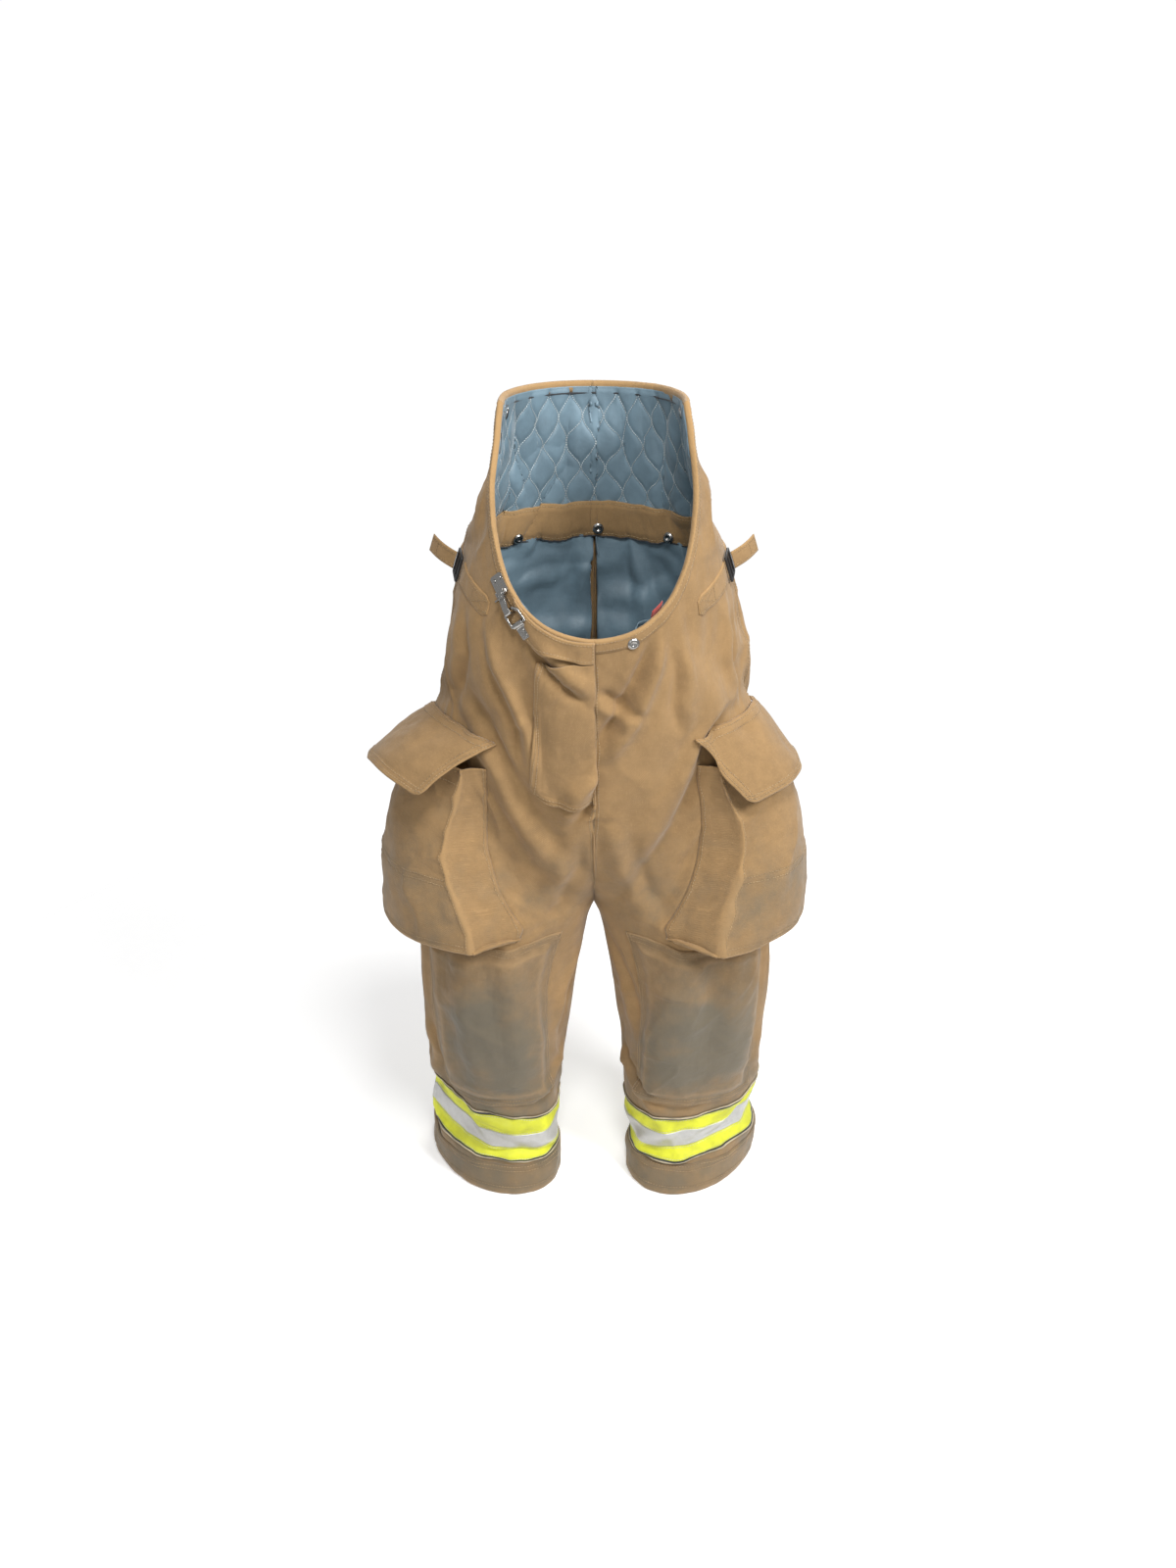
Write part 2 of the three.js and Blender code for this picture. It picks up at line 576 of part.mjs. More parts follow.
function pocketFlap(side) {
  const span = [POCKET_BACK - FLAP_OVERHANG, POCKET_FRONT + FLAP_OVERHANG];
  const rows = evenly(FLAP_SEAM - FLAP_DROP, FLAP_SEAM, 5).slice(1, -1);
  const look = { lift: (distance) => raised(distance, flapSurface), rows };
  const flap = ply(span, [FLAP_SEAM - FLAP_DROP, FLAP_SEAM], [-SEAM_SINK, DUCK - SEAM_SINK], look);
  const stripBottom = FLAP_SEAM - FLAP_DROP + STRIP_MARGIN;
  const stripIn = -(SEAM_SINK + FASTENER_GAP + FASTENER);
  const stripHeights = [stripBottom, stripBottom + FLAP_STRIP_HEIGHT];
  const strip = ply([FASTENER_BACK, FASTENER_FRONT], stripHeights, [stripIn, stripIn + FASTENER], look);
  const middle = (POCKET_BACK + POCKET_FRONT) / 2;
  const seam = flapSurface(middle, FLAP_SEAM);
  const out = normalOf(body, middle, FLAP_SEAM).setZ(0).normalize();
  return hinged(
    `flap_hinge_${side}`,
    seam,
    new THREE.Vector3(0, 0, -1),
    out,
    [named(`pocket_flap_${side}`, flap, duck), named(`flap_hook_strip_${side}`, strip, fastenerTape)],
    side === "right" ? RIGHT_FLAP_POP : 0,
  );
}

// ---- Take-up straps ----

// A strap laid on the body from one (phi, z) to another, whose front end may be pointed.
function strapOn(start, end, point = 0) {
  const slope = (end[1] - start[1]) / (end[0] - start[0]);
  const tip = Math.max(start[0], end[0]);
  const half = (phi) => (STRAP_WIDTH / 2) * (phi === tip ? 1 - point : 1);
  const edge = (side) => (phi) => start[1] + slope * (phi - start[0]) + side * half(phi);
  return ply([Math.min(start[0], end[0]), tip], [edge(-1), edge(1)], [LAYER_GAP, LAYER_GAP + DUCK], {
    rows: evenly(start[1], end[1], 3),
  });
}

const polygon = (pairs) => new THREE.Shape(pairs.map(([x, y]) => new THREE.Vector2(x, y)));

// Points along an arc, in degrees, as [x, y] pairs.
const arc = (x, y, radius, start, end, steps = 3) =>
  evenly(start, end, steps).map((angle) => [x + radius * cosine(angle), y + radius * sine(angle)]);

function roundedRectangle(length, width, corner) {
  const [x, y] = [length / 2 - corner, width / 2 - corner];
  return polygon([
    ...arc(x, -y, corner, -90, 0),
    ...arc(x, y, corner, 0, 90),
    ...arc(-x, y, corner, 90, 180),
    ...arc(-x, -y, corner, 180, 270),
  ]);
}

const extruded = (shape, depth) => new THREE.ExtrudeGeometry(shape, { depth, bevelEnabled: false });

function boxBetween(x0, x1, y0, y1, z0, z1) {
  const box = new THREE.BoxGeometry(x1 - x0, y1 - y0, z1 - z0);
  return box.translate((x0 + x1) / 2, (y0 + y1) / 2, (z0 + z1) / 2);
}

// The buckle is a plastic ladder frame with three bars. Its front bar holds the tab, and the strap goes round the
// others.
function buckleGeometry() {
  let frame = toSolid(extruded(roundedRectangle(BUCKLE_LENGTH, BUCKLE_WIDTH, 3), BUCKLE_THICK));
  const inner = BUCKLE_WIDTH / 2 - BUCKLE_BAR;
  const [far, near] = [BUCKLE_LENGTH / 2 - BUCKLE_BAR, BUCKLE_BAR / 2];
  for (const [start, end] of [
    [near, far],
    [-far, -near],
  ]) {
    frame = frame.subtract(toSolid(boxBetween(start, end, -inner, inner, -1, BUCKLE_THICK + 1)));
  }
  return toGeometry(frame);
}

function takeUp(side) {
  const tabEnd = [TAB_BACK, TAB_BACK_HEIGHT];
  const tab = strapOn(tabEnd, [TAB_FRONT, TAB_FRONT_HEIGHT], TAB_POINT);
  const buckleHeight = TAB_BACK_HEIGHT + 3;
  const strapStart = [BUCKLE_ANGLE - 3, buckleHeight];
  const strap = strapOn(strapStart, [STRAP_BACK, STRAP_BACK_HEIGHT]);
  const seat = seatedAt([BUCKLE_ANGLE, buckleHeight], tabEnd, LAYER_GAP + DUCK + BUCKLE_GAP);
  const buckleMesh = named(`takeup_buckle_${side}`, buckleGeometry(), blackPlastic);
  const frontBar = new THREE.Vector3(BUCKLE_LENGTH / 2, 0, 0);
  const [back, out] = [new THREE.Vector3(-1, 0, 0), new THREE.Vector3(0, 0, 1)];
  // The tail comes over the rear bar and stands off the buckle.
  const tailShape = extruded(roundedRectangle(TAIL_LENGTH, STRAP_WIDTH - 2, 1), DUCK);
  tailShape.translate(-TAIL_LENGTH / 2, 0, 0);
  const rearBar = new THREE.Vector3(-BUCKLE_LENGTH / 2 + BUCKLE_BAR, 0, BUCKLE_THICK + LAYER_GAP);
  const tailMesh = named(`strap_tail_${side}`, tailShape, duck);
  tailMesh.position.copy(rearBar);
  const tail = hinged(`tail_swing_${side}`, rearBar, back, out, [tailMesh], TAIL_RISE);
  seat.add(hinged(`buckle_tilt_${side}`, frontBar, back, out, [buckleMesh, tail]));
  return [named(`takeup_tab_${side}`, tab, duck), named(`takeup_strap_${side}`, strap, duck), seat];
}

// ---- Snaps ----
function snapGeometry() {
  const profile = [
    [0, 0],
    [SNAP_RADIUS, 0],
    [SNAP_RADIUS, SNAP_HEIGHT * 0.35],
    [SNAP_RADIUS * 0.82, SNAP_HEIGHT * 0.85],
    [SNAP_RADIUS * 0.5, SNAP_HEIGHT],
    [0, SNAP_HEIGHT],
  ].map(([x, y]) => new THREE.Vector2(x, y));
  return new THREE.LatheGeometry(profile, SNAP_SIDES).rotateX(Math.PI / 2);
}

// A snap cap on the outside of the garment, or turned over onto the inside.
function snapOn(name, phi, z, distance, inside = false) {
  const seat = seatedAt([phi, z], [phi, z + 10], distance + (inside ? -INNER_GAP : SNAP_GAP));
  const cap = named(name, snapGeometry(), nickel);
  if (inside) cap.rotation.x = Math.PI;
  seat.add(cap);
  return seat;
}

// ---- Fly and waistband ----

// The fly covers the centre front: u is the distance from its seam towards the wearer's right.
function flyPieces() {
  const bottom = (phi) => {
    const into = THREE.MathUtils.clamp((phi - (FLY_EDGE - FLY_CORNER_ANGLE)) / FLY_CORNER_ANGLE, 0, 1);
    return FLY_BOTTOM + FLY_CORNER * (1 - Math.sqrt(1 - 0.97 * into ** 2));
  };
  const flap = ply([FLY_SEAM, FLY_EDGE], [bottom, FLY_TOP], [2 * LAYER_GAP, 2 * LAYER_GAP + DUCK], {
    columns: evenly(FLY_EDGE - FLY_CORNER_ANGLE, FLY_EDGE, 4).slice(0, -1),
  });
  const surface = raised(2 * LAYER_GAP + DUCK / 2);
  const low = surface(FLY_SEAM, FLY_BOTTOM);
  const high = surface(FLY_SEAM, FLY_TOP);
  const up = high.clone().sub(low).normalize();
  const rightwards = new THREE.Vector3(-1, 0, 0);
  const outwards = up.clone().cross(rightwards);
  const middle = low.clone().lerp(high, 0.5);
  const hinge = hinged("fly_hinge", middle, rightwards, outwards, [named("fly_flap", flap, duck)]);
  const shieldTop = (phi) => rim(phi) - SHIELD_BELOW_RIM;
  const shield = ply([SHIELD_BACK, 90 - 2 * SEAM_GAP], [SHIELD_BOTTOM, shieldTop], [FACING_IN, FACING_OUT]);
  return [hinge, named("fly_shield", shield, duck)];
}

// The end of the waistband laps over the right front: it touches the shell at both ends and stands off between them.
const bandSwell = (phi) => Math.max(0, sine(((phi - BAND_START) / (90 - BAND_START)) * 180)) ** 0.7;

function waistbandOverlap() {
  const from = (phi) => LAYER_GAP + BAND_BULGE * bandSwell(phi);
  const to = (phi) => from(phi) + DUCK;
  const heights = [(phi) => rim(phi) - BAND_HEIGHT, (phi) => rim(phi) - 1];
  const columns = evenly(BAND_START, 90, 8);
  const band = ply([BAND_START, 90 - 2 * SEAM_GAP], heights, [from, to], { columns });
  return named("waistband_overlap", band, duck);
}

// ---- Hook and dee ----

// A shape drawn in the plane of the garment's normal and extruded across the strap direction, centred on it.
function acrossExtrusion(shape, width) {
  return extruded(shape, width)
    .rotateX(Math.PI / 2)
    .translate(0, width / 2, 0);
}

function pinAlongY(radius, length, x, z) {
  return new THREE.CylinderGeometry(radius, radius, length, ROUND_SIDES).translate(x, 0, z);
}

const rivet = (name, x, y, z) => {
  const dome = new THREE.LatheGeometry(
    [
      [0, 0],
      [RIVET_RADIUS, 0],
      [RIVET_RADIUS * 0.8, RIVET_HEIGHT * 0.8],
      [0, RIVET_HEIGHT],
    ].map(([r, h]) => new THREE.Vector2(r, h)),
    ROUND_SIDES,
  );
  return named(name, dome.rotateX(Math.PI / 2).translate(x, y, z + RIVET_SINK), nickel);
};

const RING_REACH = (RING_WIRE / 2) * Math.SQRT2; // from the middle of the ring's square wire to its corner
const HOOK_EYE = PIN_RADIUS + RUNNING_GAP;
const HOOK_BARREL = HOOK_EYE + BARREL_WALL;
const PIN_LIFT = PLATE.thick + RUNNING_GAP + HOOK_BARREL;

// The hook's plate carries two ears, and a pin through them holds the hook. The bar is the place, in the plate's own
// frame, of the middle of the ring's bar that the hook holds, and the lean is the way that the bar runs there.
function hookPieces(bar, lean) {
  const plate = toSolid(extruded(roundedRectangle(PLATE.length, PLATE.width, PLATE.corner), PLATE.thick));
  const earInner = HOOK_WIDTH / 2 + RUNNING_GAP;
  const earOuter = earInner + EAR_THICK;
  const [earBack, earFront] = [PIN_AHEAD - HOOK_BARREL, PIN_AHEAD + HOOK_BARREL];
  const earTop = PIN_LIFT + HOOK_BARREL;
  let solid = plate;
  for (const [y0, y1] of [
    [earInner, earOuter],
    [-earOuter, -earInner],
  ]) {
    solid = solid.add(toSolid(boxBetween(earBack, earFront, y0, y1, PLATE.thick / 2, earTop)));
  }
  const bore = toSolid(pinAlongY(HOOK_EYE, 2 * earOuter + 4, PIN_AHEAD, PIN_LIFT));
  const plateGeometry = toGeometry(solid.subtract(bore));
  const pin = pinAlongY(PIN_RADIUS, 2 * (earOuter + PIN_PROUD), PIN_AHEAD, PIN_LIFT);
  // The hook is a flat arm from the pin, over the bar, to a tip that turns down in front of it.
  const [x, z] = [bar.x - PIN_AHEAD, bar.z - PIN_LIFT];
  const reach = HOOK_WIDTH / 2 + Math.abs(bar.y);
  const [slant, slope] = [lean.x, lean.z].map((part) => Math.abs(part / lean.y) * reach);
  const over = z + RING_REACH + RING_PLAY + slope;
  const inFront = x + RING_REACH + RING_SLACK + slant;
  const arm = polygon([
    ...arc(0, 0, HOOK_BARREL, 70, 290, 8),
    [x - RING_WIRE, over],
    [inFront, over],
    [inFront, over - HOOK_TIP],
    [inFront + HOOK_THICK, over - HOOK_TIP],
    [inFront + HOOK_THICK, over + HOOK_THICK * 0.4],
    [inFront + HOOK_THICK * 0.4, over + HOOK_THICK],
    [x - RING_WIRE, over + HOOK_THICK],
  ]);
  const hook = acrossExtrusion(arm, HOOK_WIDTH).translate(PIN_AHEAD, 0, PIN_LIFT);
  const [thumbBack, thumbFront] = [PIN_AHEAD + THUMB_AHEAD, PIN_AHEAD + THUMB_AHEAD + THUMB_THICK];
  const [thumbHalf, thumbTop] = [THUMB_WIDTH / 2, PIN_LIFT + THUMB_RISE];
  const thumb = boxBetween(thumbBack, thumbFront, -thumbHalf, thumbHalf, PIN_LIFT, thumbTop);
  const hookBore = toSolid(pinAlongY(HOOK_EYE, HOOK_WIDTH + 4, PIN_AHEAD, PIN_LIFT));
  const hookSolid = toGeometry(toSolid(hook).add(toSolid(thumb)).subtract(hookBore));
  const [ahead, out] = [new THREE.Vector3(1, 0, 0), new THREE.Vector3(0, 0, 1)];
  const pinCentre = new THREE.Vector3(PIN_AHEAD, 0, PIN_LIFT);
  const rivetX = RIVET_FROM_END - PLATE.length / 2;
  return [
    named("hook_plate", plateGeometry, nickel),
    named("hook_pin", pin, nickel),
    rivet("hook_rivet_1", rivetX, -RIVET_SPREAD, PLATE.thick),
    rivet("hook_rivet_2", rivetX, RIVET_SPREAD, PLATE.thick),
    hinged("hook_lift", pinCentre, ahead, out, [named("closure_hook", hookSolid, nickel)]),
  ];
}

// The dee's plate curls over the straight side of the ring, whose wire is square. The ring lies back towards the hook.
const CURL_INNER = RING_REACH + RUNNING_GAP;
const CURL_OUTER = CURL_INNER + DEE_PLATE_THICK;

function deePieces() {
  const [wire, length] = [RING_WIRE / 2, DEE_PLATE_LENGTH];
  const profile = polygon([
    [length, -CURL_INNER],
    [length, DEE_PLATE_THICK - CURL_INNER],
    [CURL_OUTER + 1, DEE_PLATE_THICK - CURL_INNER],
    ...arc(0, 0, CURL_OUTER, 0, 180, 8),
    [-CURL_OUTER, -CURL_INNER],
    [-CURL_INNER, -CURL_INNER],
    ...arc(0, 0, CURL_INNER, 180, 0, 8),
    [CURL_INNER, -CURL_INNER],
  ]);
  const plate = acrossExtrusion(profile, RING_WIDTH - 2 * RING_WIRE - 2).translate(0, 0, CURL_INNER);
  const outline = (inset) => {
    const [half, near, far] = [RING_WIDTH / 2 - inset, wire - inset, -RING_LENGTH - wire + inset];
    return polygon([
      [near, -half],
      [near, half],
      [far + RING_CORNER, half],
      [far, half - RING_CORNER],
      [far, RING_CORNER - half],
      [far + RING_CORNER, -half],
    ]);
  };
  const open = toSolid(extruded(outline(RING_WIRE), RING_WIRE + 2).translate(0, 0, -1));
  const solid = toSolid(extruded(outline(0), RING_WIRE)).subtract(open);
  const ring = toGeometry(solid).translate(0, 0, CURL_INNER - wire);
  const centre = new THREE.Vector3(0, 0, CURL_INNER);
  const [back, out] = [new THREE.Vector3(-1, 0, 0), new THREE.Vector3(0, 0, 1)];
  return [
    named("dee_plate", plate, nickel),
    rivet("dee_rivet_1", length * 0.45, 0, DEE_PLATE_THICK),
    rivet("dee_rivet_2", length * 0.8, 0, DEE_PLATE_THICK),
    hinged("dee_swing", centre, back, out, [named("closure_dee", ring, nickel)]),
  ];
}

function closure() {
  const hookPlace = [HOOK_ANGLE, rim(HOOK_ANGLE) - CLOSURE_BELOW_RIM];
  const deePlace = [DEE_ANGLE, rim(DEE_ANGLE) - CLOSURE_BELOW_RIM];
  const hookSeat = seatedAt(hookPlace, deePlace, LAYER_GAP);
  const deeSeat = seatedAt(deePlace, hookPlace, 2 * LAYER_GAP + DUCK + BAND_BULGE * bandSwell(DEE_ANGLE));
  deeSeat.rotateZ(Math.PI);
  for (const seat of [hookSeat, deeSeat]) seat.updateMatrix();
  const bar = new THREE.Vector3(-RING_LENGTH, 0, CURL_INNER).applyMatrix4(deeSeat.matrix);
  const intoHook = hookSeat.matrix.clone().invert();
  const lean = new THREE.Vector3(0, 1, 0).transformDirection(deeSeat.matrix).transformDirection(intoHook);
  for (const piece of hookPieces(bar.applyMatrix4(intoHook), lean)) hookSeat.add(piece);
  for (const piece of deePieces()) deeSeat.add(piece);
  return [hookSeat, deeSeat];
}

// ---- Assembly ----
const left = new THREE.Group();
const right = new THREE.Group();
right.scale.x = -1;
for (const [side, half] of [
  ["left", left],
  ["right", right],
]) {
  half.add(...shellPanels(side), liner(side), ...kneePieces(side), ...trimPieces(side), cuffBinding(side));
  half.add(...pocketPieces(side), pocketFlap(side), ...takeUp(side));
  const corner = rim(0) - BIB_SNAP_BELOW_RIM;
  half.add(snapOn(`bib_snap_${side}`, BIB_SNAP_ANGLE, corner, LINER_IN, true));
}
right.add(waistbandOverlap(), ...closure());
left.add(...flyPieces());
left.add(snapOn("front_snap", FRONT_SNAP_ANGLE, rim(FRONT_SNAP_ANGLE) - FRONT_SNAP_BELOW_RIM, 0));
const tabHeights = [(phi) => rim(phi) - TAB_BELOW_RIM, (phi) => rim(phi) + TAB_PROUD];
const tabOut = LINER_IN - INNER_GAP;
left.add(named("liner_tab", ply(LINER_TAB, tabHeights, [tabOut - DUCK, tabOut]), redCloth));

const garment = new THREE.Group();
garment.add(left, right, bibLining(), bibFacing());
FACING_SNAPS.forEach((phi, i) => {
  garment.add(snapOn(`facing_snap_${i + 1}`, phi, FACING_BOTTOM + FACING_SNAP_RISE, FACING_IN, true));
});

// The origin is on the floor under the middle of the garment's bounding box.
garment.updateMatrixWorld(true);
const extent = new THREE.Box3().setFromObject(garment, true);
const middle = extent.getCenter(new THREE.Vector3());
garment.position.set(-middle.x, -middle.y, -extent.min.z);

export default garment;
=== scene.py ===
"""Bunker pants: the visible model of a firefighter's trousers, standing on their cuffs.

The garment's outer face is one function of an angle and a height, as in the frame. Folds are added to it,
a cloth simulation settles it, and every panel, patch, pocket, band and stitch is laid on the settled face.
Lengths are in millimetres until a mesh is made. The wearer's left is +X and the front faces -Y.
"""

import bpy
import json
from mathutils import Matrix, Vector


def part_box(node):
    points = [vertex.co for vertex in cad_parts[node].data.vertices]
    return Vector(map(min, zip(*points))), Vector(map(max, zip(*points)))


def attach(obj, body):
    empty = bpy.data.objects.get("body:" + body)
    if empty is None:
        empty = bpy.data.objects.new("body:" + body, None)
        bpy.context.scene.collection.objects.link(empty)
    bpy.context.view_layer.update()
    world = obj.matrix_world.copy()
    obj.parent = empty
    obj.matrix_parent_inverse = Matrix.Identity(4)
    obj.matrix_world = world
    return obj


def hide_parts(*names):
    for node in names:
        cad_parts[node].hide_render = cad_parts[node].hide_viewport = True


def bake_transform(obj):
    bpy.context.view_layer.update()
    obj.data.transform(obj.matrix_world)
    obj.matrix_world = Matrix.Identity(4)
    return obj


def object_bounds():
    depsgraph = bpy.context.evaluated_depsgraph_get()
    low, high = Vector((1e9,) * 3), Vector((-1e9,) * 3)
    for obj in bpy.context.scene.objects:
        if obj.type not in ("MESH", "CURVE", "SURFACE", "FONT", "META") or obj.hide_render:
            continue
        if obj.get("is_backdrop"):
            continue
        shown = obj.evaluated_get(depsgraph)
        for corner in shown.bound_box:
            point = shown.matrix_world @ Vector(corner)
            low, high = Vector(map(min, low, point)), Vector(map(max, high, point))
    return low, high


bl_info = {
    "name": "Bunker Pants",
    "version": (1, 0, 0),
    "blender": (4, 5, 0),
    "location": "View3D > Sidebar > Bunker Pants",
    "description": "Builds the cloth, trim and hardware of a pair of bunker pants round its frame",
    "category": "Object",
}

import json
import math

import bmesh
import bpy
import numpy as np
from bpy.props import FloatProperty, FloatVectorProperty, PointerProperty
from mathutils import Vector

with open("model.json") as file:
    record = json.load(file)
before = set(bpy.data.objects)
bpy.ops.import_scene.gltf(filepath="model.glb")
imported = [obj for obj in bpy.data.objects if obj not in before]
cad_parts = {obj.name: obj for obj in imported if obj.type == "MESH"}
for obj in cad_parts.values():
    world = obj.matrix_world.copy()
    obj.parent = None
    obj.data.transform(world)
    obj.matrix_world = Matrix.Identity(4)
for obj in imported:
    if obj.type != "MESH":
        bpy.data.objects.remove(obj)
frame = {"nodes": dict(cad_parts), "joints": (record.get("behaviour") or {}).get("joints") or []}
CAD_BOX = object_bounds()

MM = 0.001
SIDES = {"left": 1.0, "right": -1.0}

# ---- Sizes that follow the frame ----

INSEAM = 465.0
FRONT_RIM = 893.0
BACK_RIM = 1150.0
FORK_TOP = 640.0
CORNER_ANGLE = 5.0
TOP_DIP = 7.0
SHELL = 3.0

# Share of the inseam, centre x and y, half width, half depth, and sideways lean for each millimetre of depth.
LEG_SECTIONS = np.array([
    (0.00, 150, -10, 92, 113, 0.28),
    (0.11, 149, -8, 94, 102, 0.24),
    (0.26, 144, -4, 95, 92, 0.18),
    (0.41, 139, -5, 98, 95, 0.10),
    (0.56, 139, -10, 104, 104, 0.05),
    (0.71, 139, -12, 108, 110, 0.0),
    (0.86, 134, -6, 114, 114, 0.0),
    (1.00, 124, 0, 120, 118, 0.0),
])
# Share of the height from the crotch to the top, half width, and depths of the front and the back halves.
TORSO_SECTIONS = np.array([
    (0.000, 244, 118, 122),
    (0.140, 236, 118, 135),
    (0.285, 225, 124, 146),
    (0.400, 215, 132, 150),
    (0.490, 207, 142, 150),
    (0.560, 197, 152, 150),
    (0.640, 184, 160, 148),
    (0.700, 173, 160, 147),
    (0.780, 157, 156, 146),
    (0.855, 144, 150, 143),
    (0.930, 128, 142, 139),
    (1.000, 116, 134, 134),
])


def node_box(name):
    """The lowest and highest corners of a CAD node at rest, in millimetres."""
    low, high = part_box(name)
    return np.array(low) / MM, np.array(high) / MM


def garment_centre():
    """How far the garment's own middle lies from the frame's origin, which a lifted pocket flap moves."""
    left, right = node_box("cuff_binding_left"), node_box("cuff_binding_right")
    _, _, middle_y, _, half_depth, _ = LEG_SECTIONS[0]
    bottom_front = middle_y - half_depth
    cloth = 0.6 * 2 + 1.6  # the cuff's two gaps and its ply, outside the shell
    return np.array([(left[0][0] + right[1][0]) / 2, left[0][1] - (bottom_front - cloth), 0.0])


CENTRE = garment_centre()

# ---- The garment's face ----


def sine(degrees):
    return np.sin(np.radians(degrees))


def cosine(degrees):
    return np.cos(np.radians(degrees))


def ease(start, end, value):
    """A smooth step: 0 before start, 1 after end, and 3t^2 - 2t^3 between."""
    t = np.clip((np.asarray(value, float) - start) / (end - start), 0, 1)
    return t * t * (3 - 2 * t)


def between(sections, at, column):
    """One column of a list of sections at a share of the height, on a cubic through the sections."""
    at = np.asarray(at, float)
    last = len(sections) - 2
    i = np.clip(np.searchsorted(sections[:, 0], at, side="right") - 1, 0, last)
    before, after = np.maximum(i - 1, 0), np.minimum(i + 2, last + 1)
    start, end = sections[i, 0], sections[i + 1, 0]
    a, b, span = sections[i, column], sections[i + 1, column], end - start
    t = np.clip((at - start) / span, 0, 1)
    slope_a = (b - sections[before, column]) / (end - sections[before, 0]) * span
    slope_b = (sections[after, column] - a) / (sections[after, 0] - start) * span
    return (
        (2 * t**3 - 3 * t**2 + 1) * a
        + (t**3 - 2 * t**2 + t) * slope_a
        + (3 * t**2 - 2 * t**3) * b
        + (t**3 - t**2) * slope_b
    )


def body(phi, z):
    """The outer face of the left half. An oval torso, where phi is 0 at the side seam and 90 at the front,
    turns into a skewed oval leg at twice that angle, by a share that grows from 0 at the fork's top to 1 at
    the crotch. The two halves' inner edges are drawn together at the crotch."""
    phi, z = np.broadcast_arrays(np.asarray(phi, float), np.asarray(z, float))
    up = (z - INSEAM) / (BACK_RIM - INSEAM)
    deep = np.where(phi > 0, between(TORSO_SECTIONS, up, 2), between(TORSO_SECTIONS, up, 3))
    wide = between(TORSO_SECTIONS, up, 1)
    torso = np.stack([wide * cosine(phi), -deep * sine(phi), z], -1)
    share = z / INSEAM
    forward = -between(LEG_SECTIONS, share, 4) * sine(2 * phi)
    sideways = between(LEG_SECTIONS, share, 3) * cosine(2 * phi) + between(LEG_SECTIONS, share, 5) * forward
    middle_x, middle_y = between(LEG_SECTIONS, share, 1), between(LEG_SECTIONS, share, 2)
    leg = np.stack([middle_x + sideways, middle_y + forward, z], -1)
    parting = (np.clip((FORK_TOP - z) / (FORK_TOP - INSEAM), 0, 1) ** 2.5)[..., None]
    point = torso * (1 - parting) + leg * parting
    closing = ease(72, 90, np.abs(phi)) * ease(INSEAM - 30, INSEAM, z)
    point[..., 0] -= np.minimum(point[..., 0], 5.0) * closing * (np.abs(phi) > 60)
    return point


def rim(phi):
    """Height of the top edge: level round the high back, and falling on half a cosine to the front."""
    forward = np.degrees(np.arcsin(np.clip(sine(phi), -1, 1)))
    t = np.clip((forward - CORNER_ANGLE) / (90 - CORNER_ANGLE), 0, 1) ** 0.68
    front = FRONT_RIM + (BACK_RIM - FRONT_RIM) * 0.5 * (1 + np.cos(np.pi * t))
    back = BACK_RIM - TOP_DIP * np.maximum(0, -sine(phi)) ** 2
    return np.where(forward <= CORNER_ANGLE, back, front)


def noise(u, v, seed, octaves=1):
    """Smooth value noise from -1 to 1: random values on a lattice, blended by a smooth step in each
    direction."""
    total, weight = np.zeros(np.broadcast(u, v).shape), 0.0
    for octave in range(octaves):
        lattice = np.random.default_rng(seed + 31 * octave).uniform(-1, 1, (64, 64))
        a, b = np.asarray(u) * 2**octave, np.asarray(v) * 2**octave
        i, j = np.floor(a).astype(int), np.floor(b).astype(int)
        s, t = ease(0, 1, a - i), ease(0, 1, b - j)
        corner = lambda di, dj: lattice[(i + di) % 64, (j + dj) % 64]
        low = corner(0, 0) * (1 - s) + corner(1, 0) * s
        high = corner(0, 1) * (1 - s) + corner(1, 1) * s
        total = total + (low * (1 - t) + high * t) * 0.5**octave
        weight += 0.5**octave
    return total / weight


DEGREE = 3.5  # millimetres round the garment in one degree of phi, near enough for folds

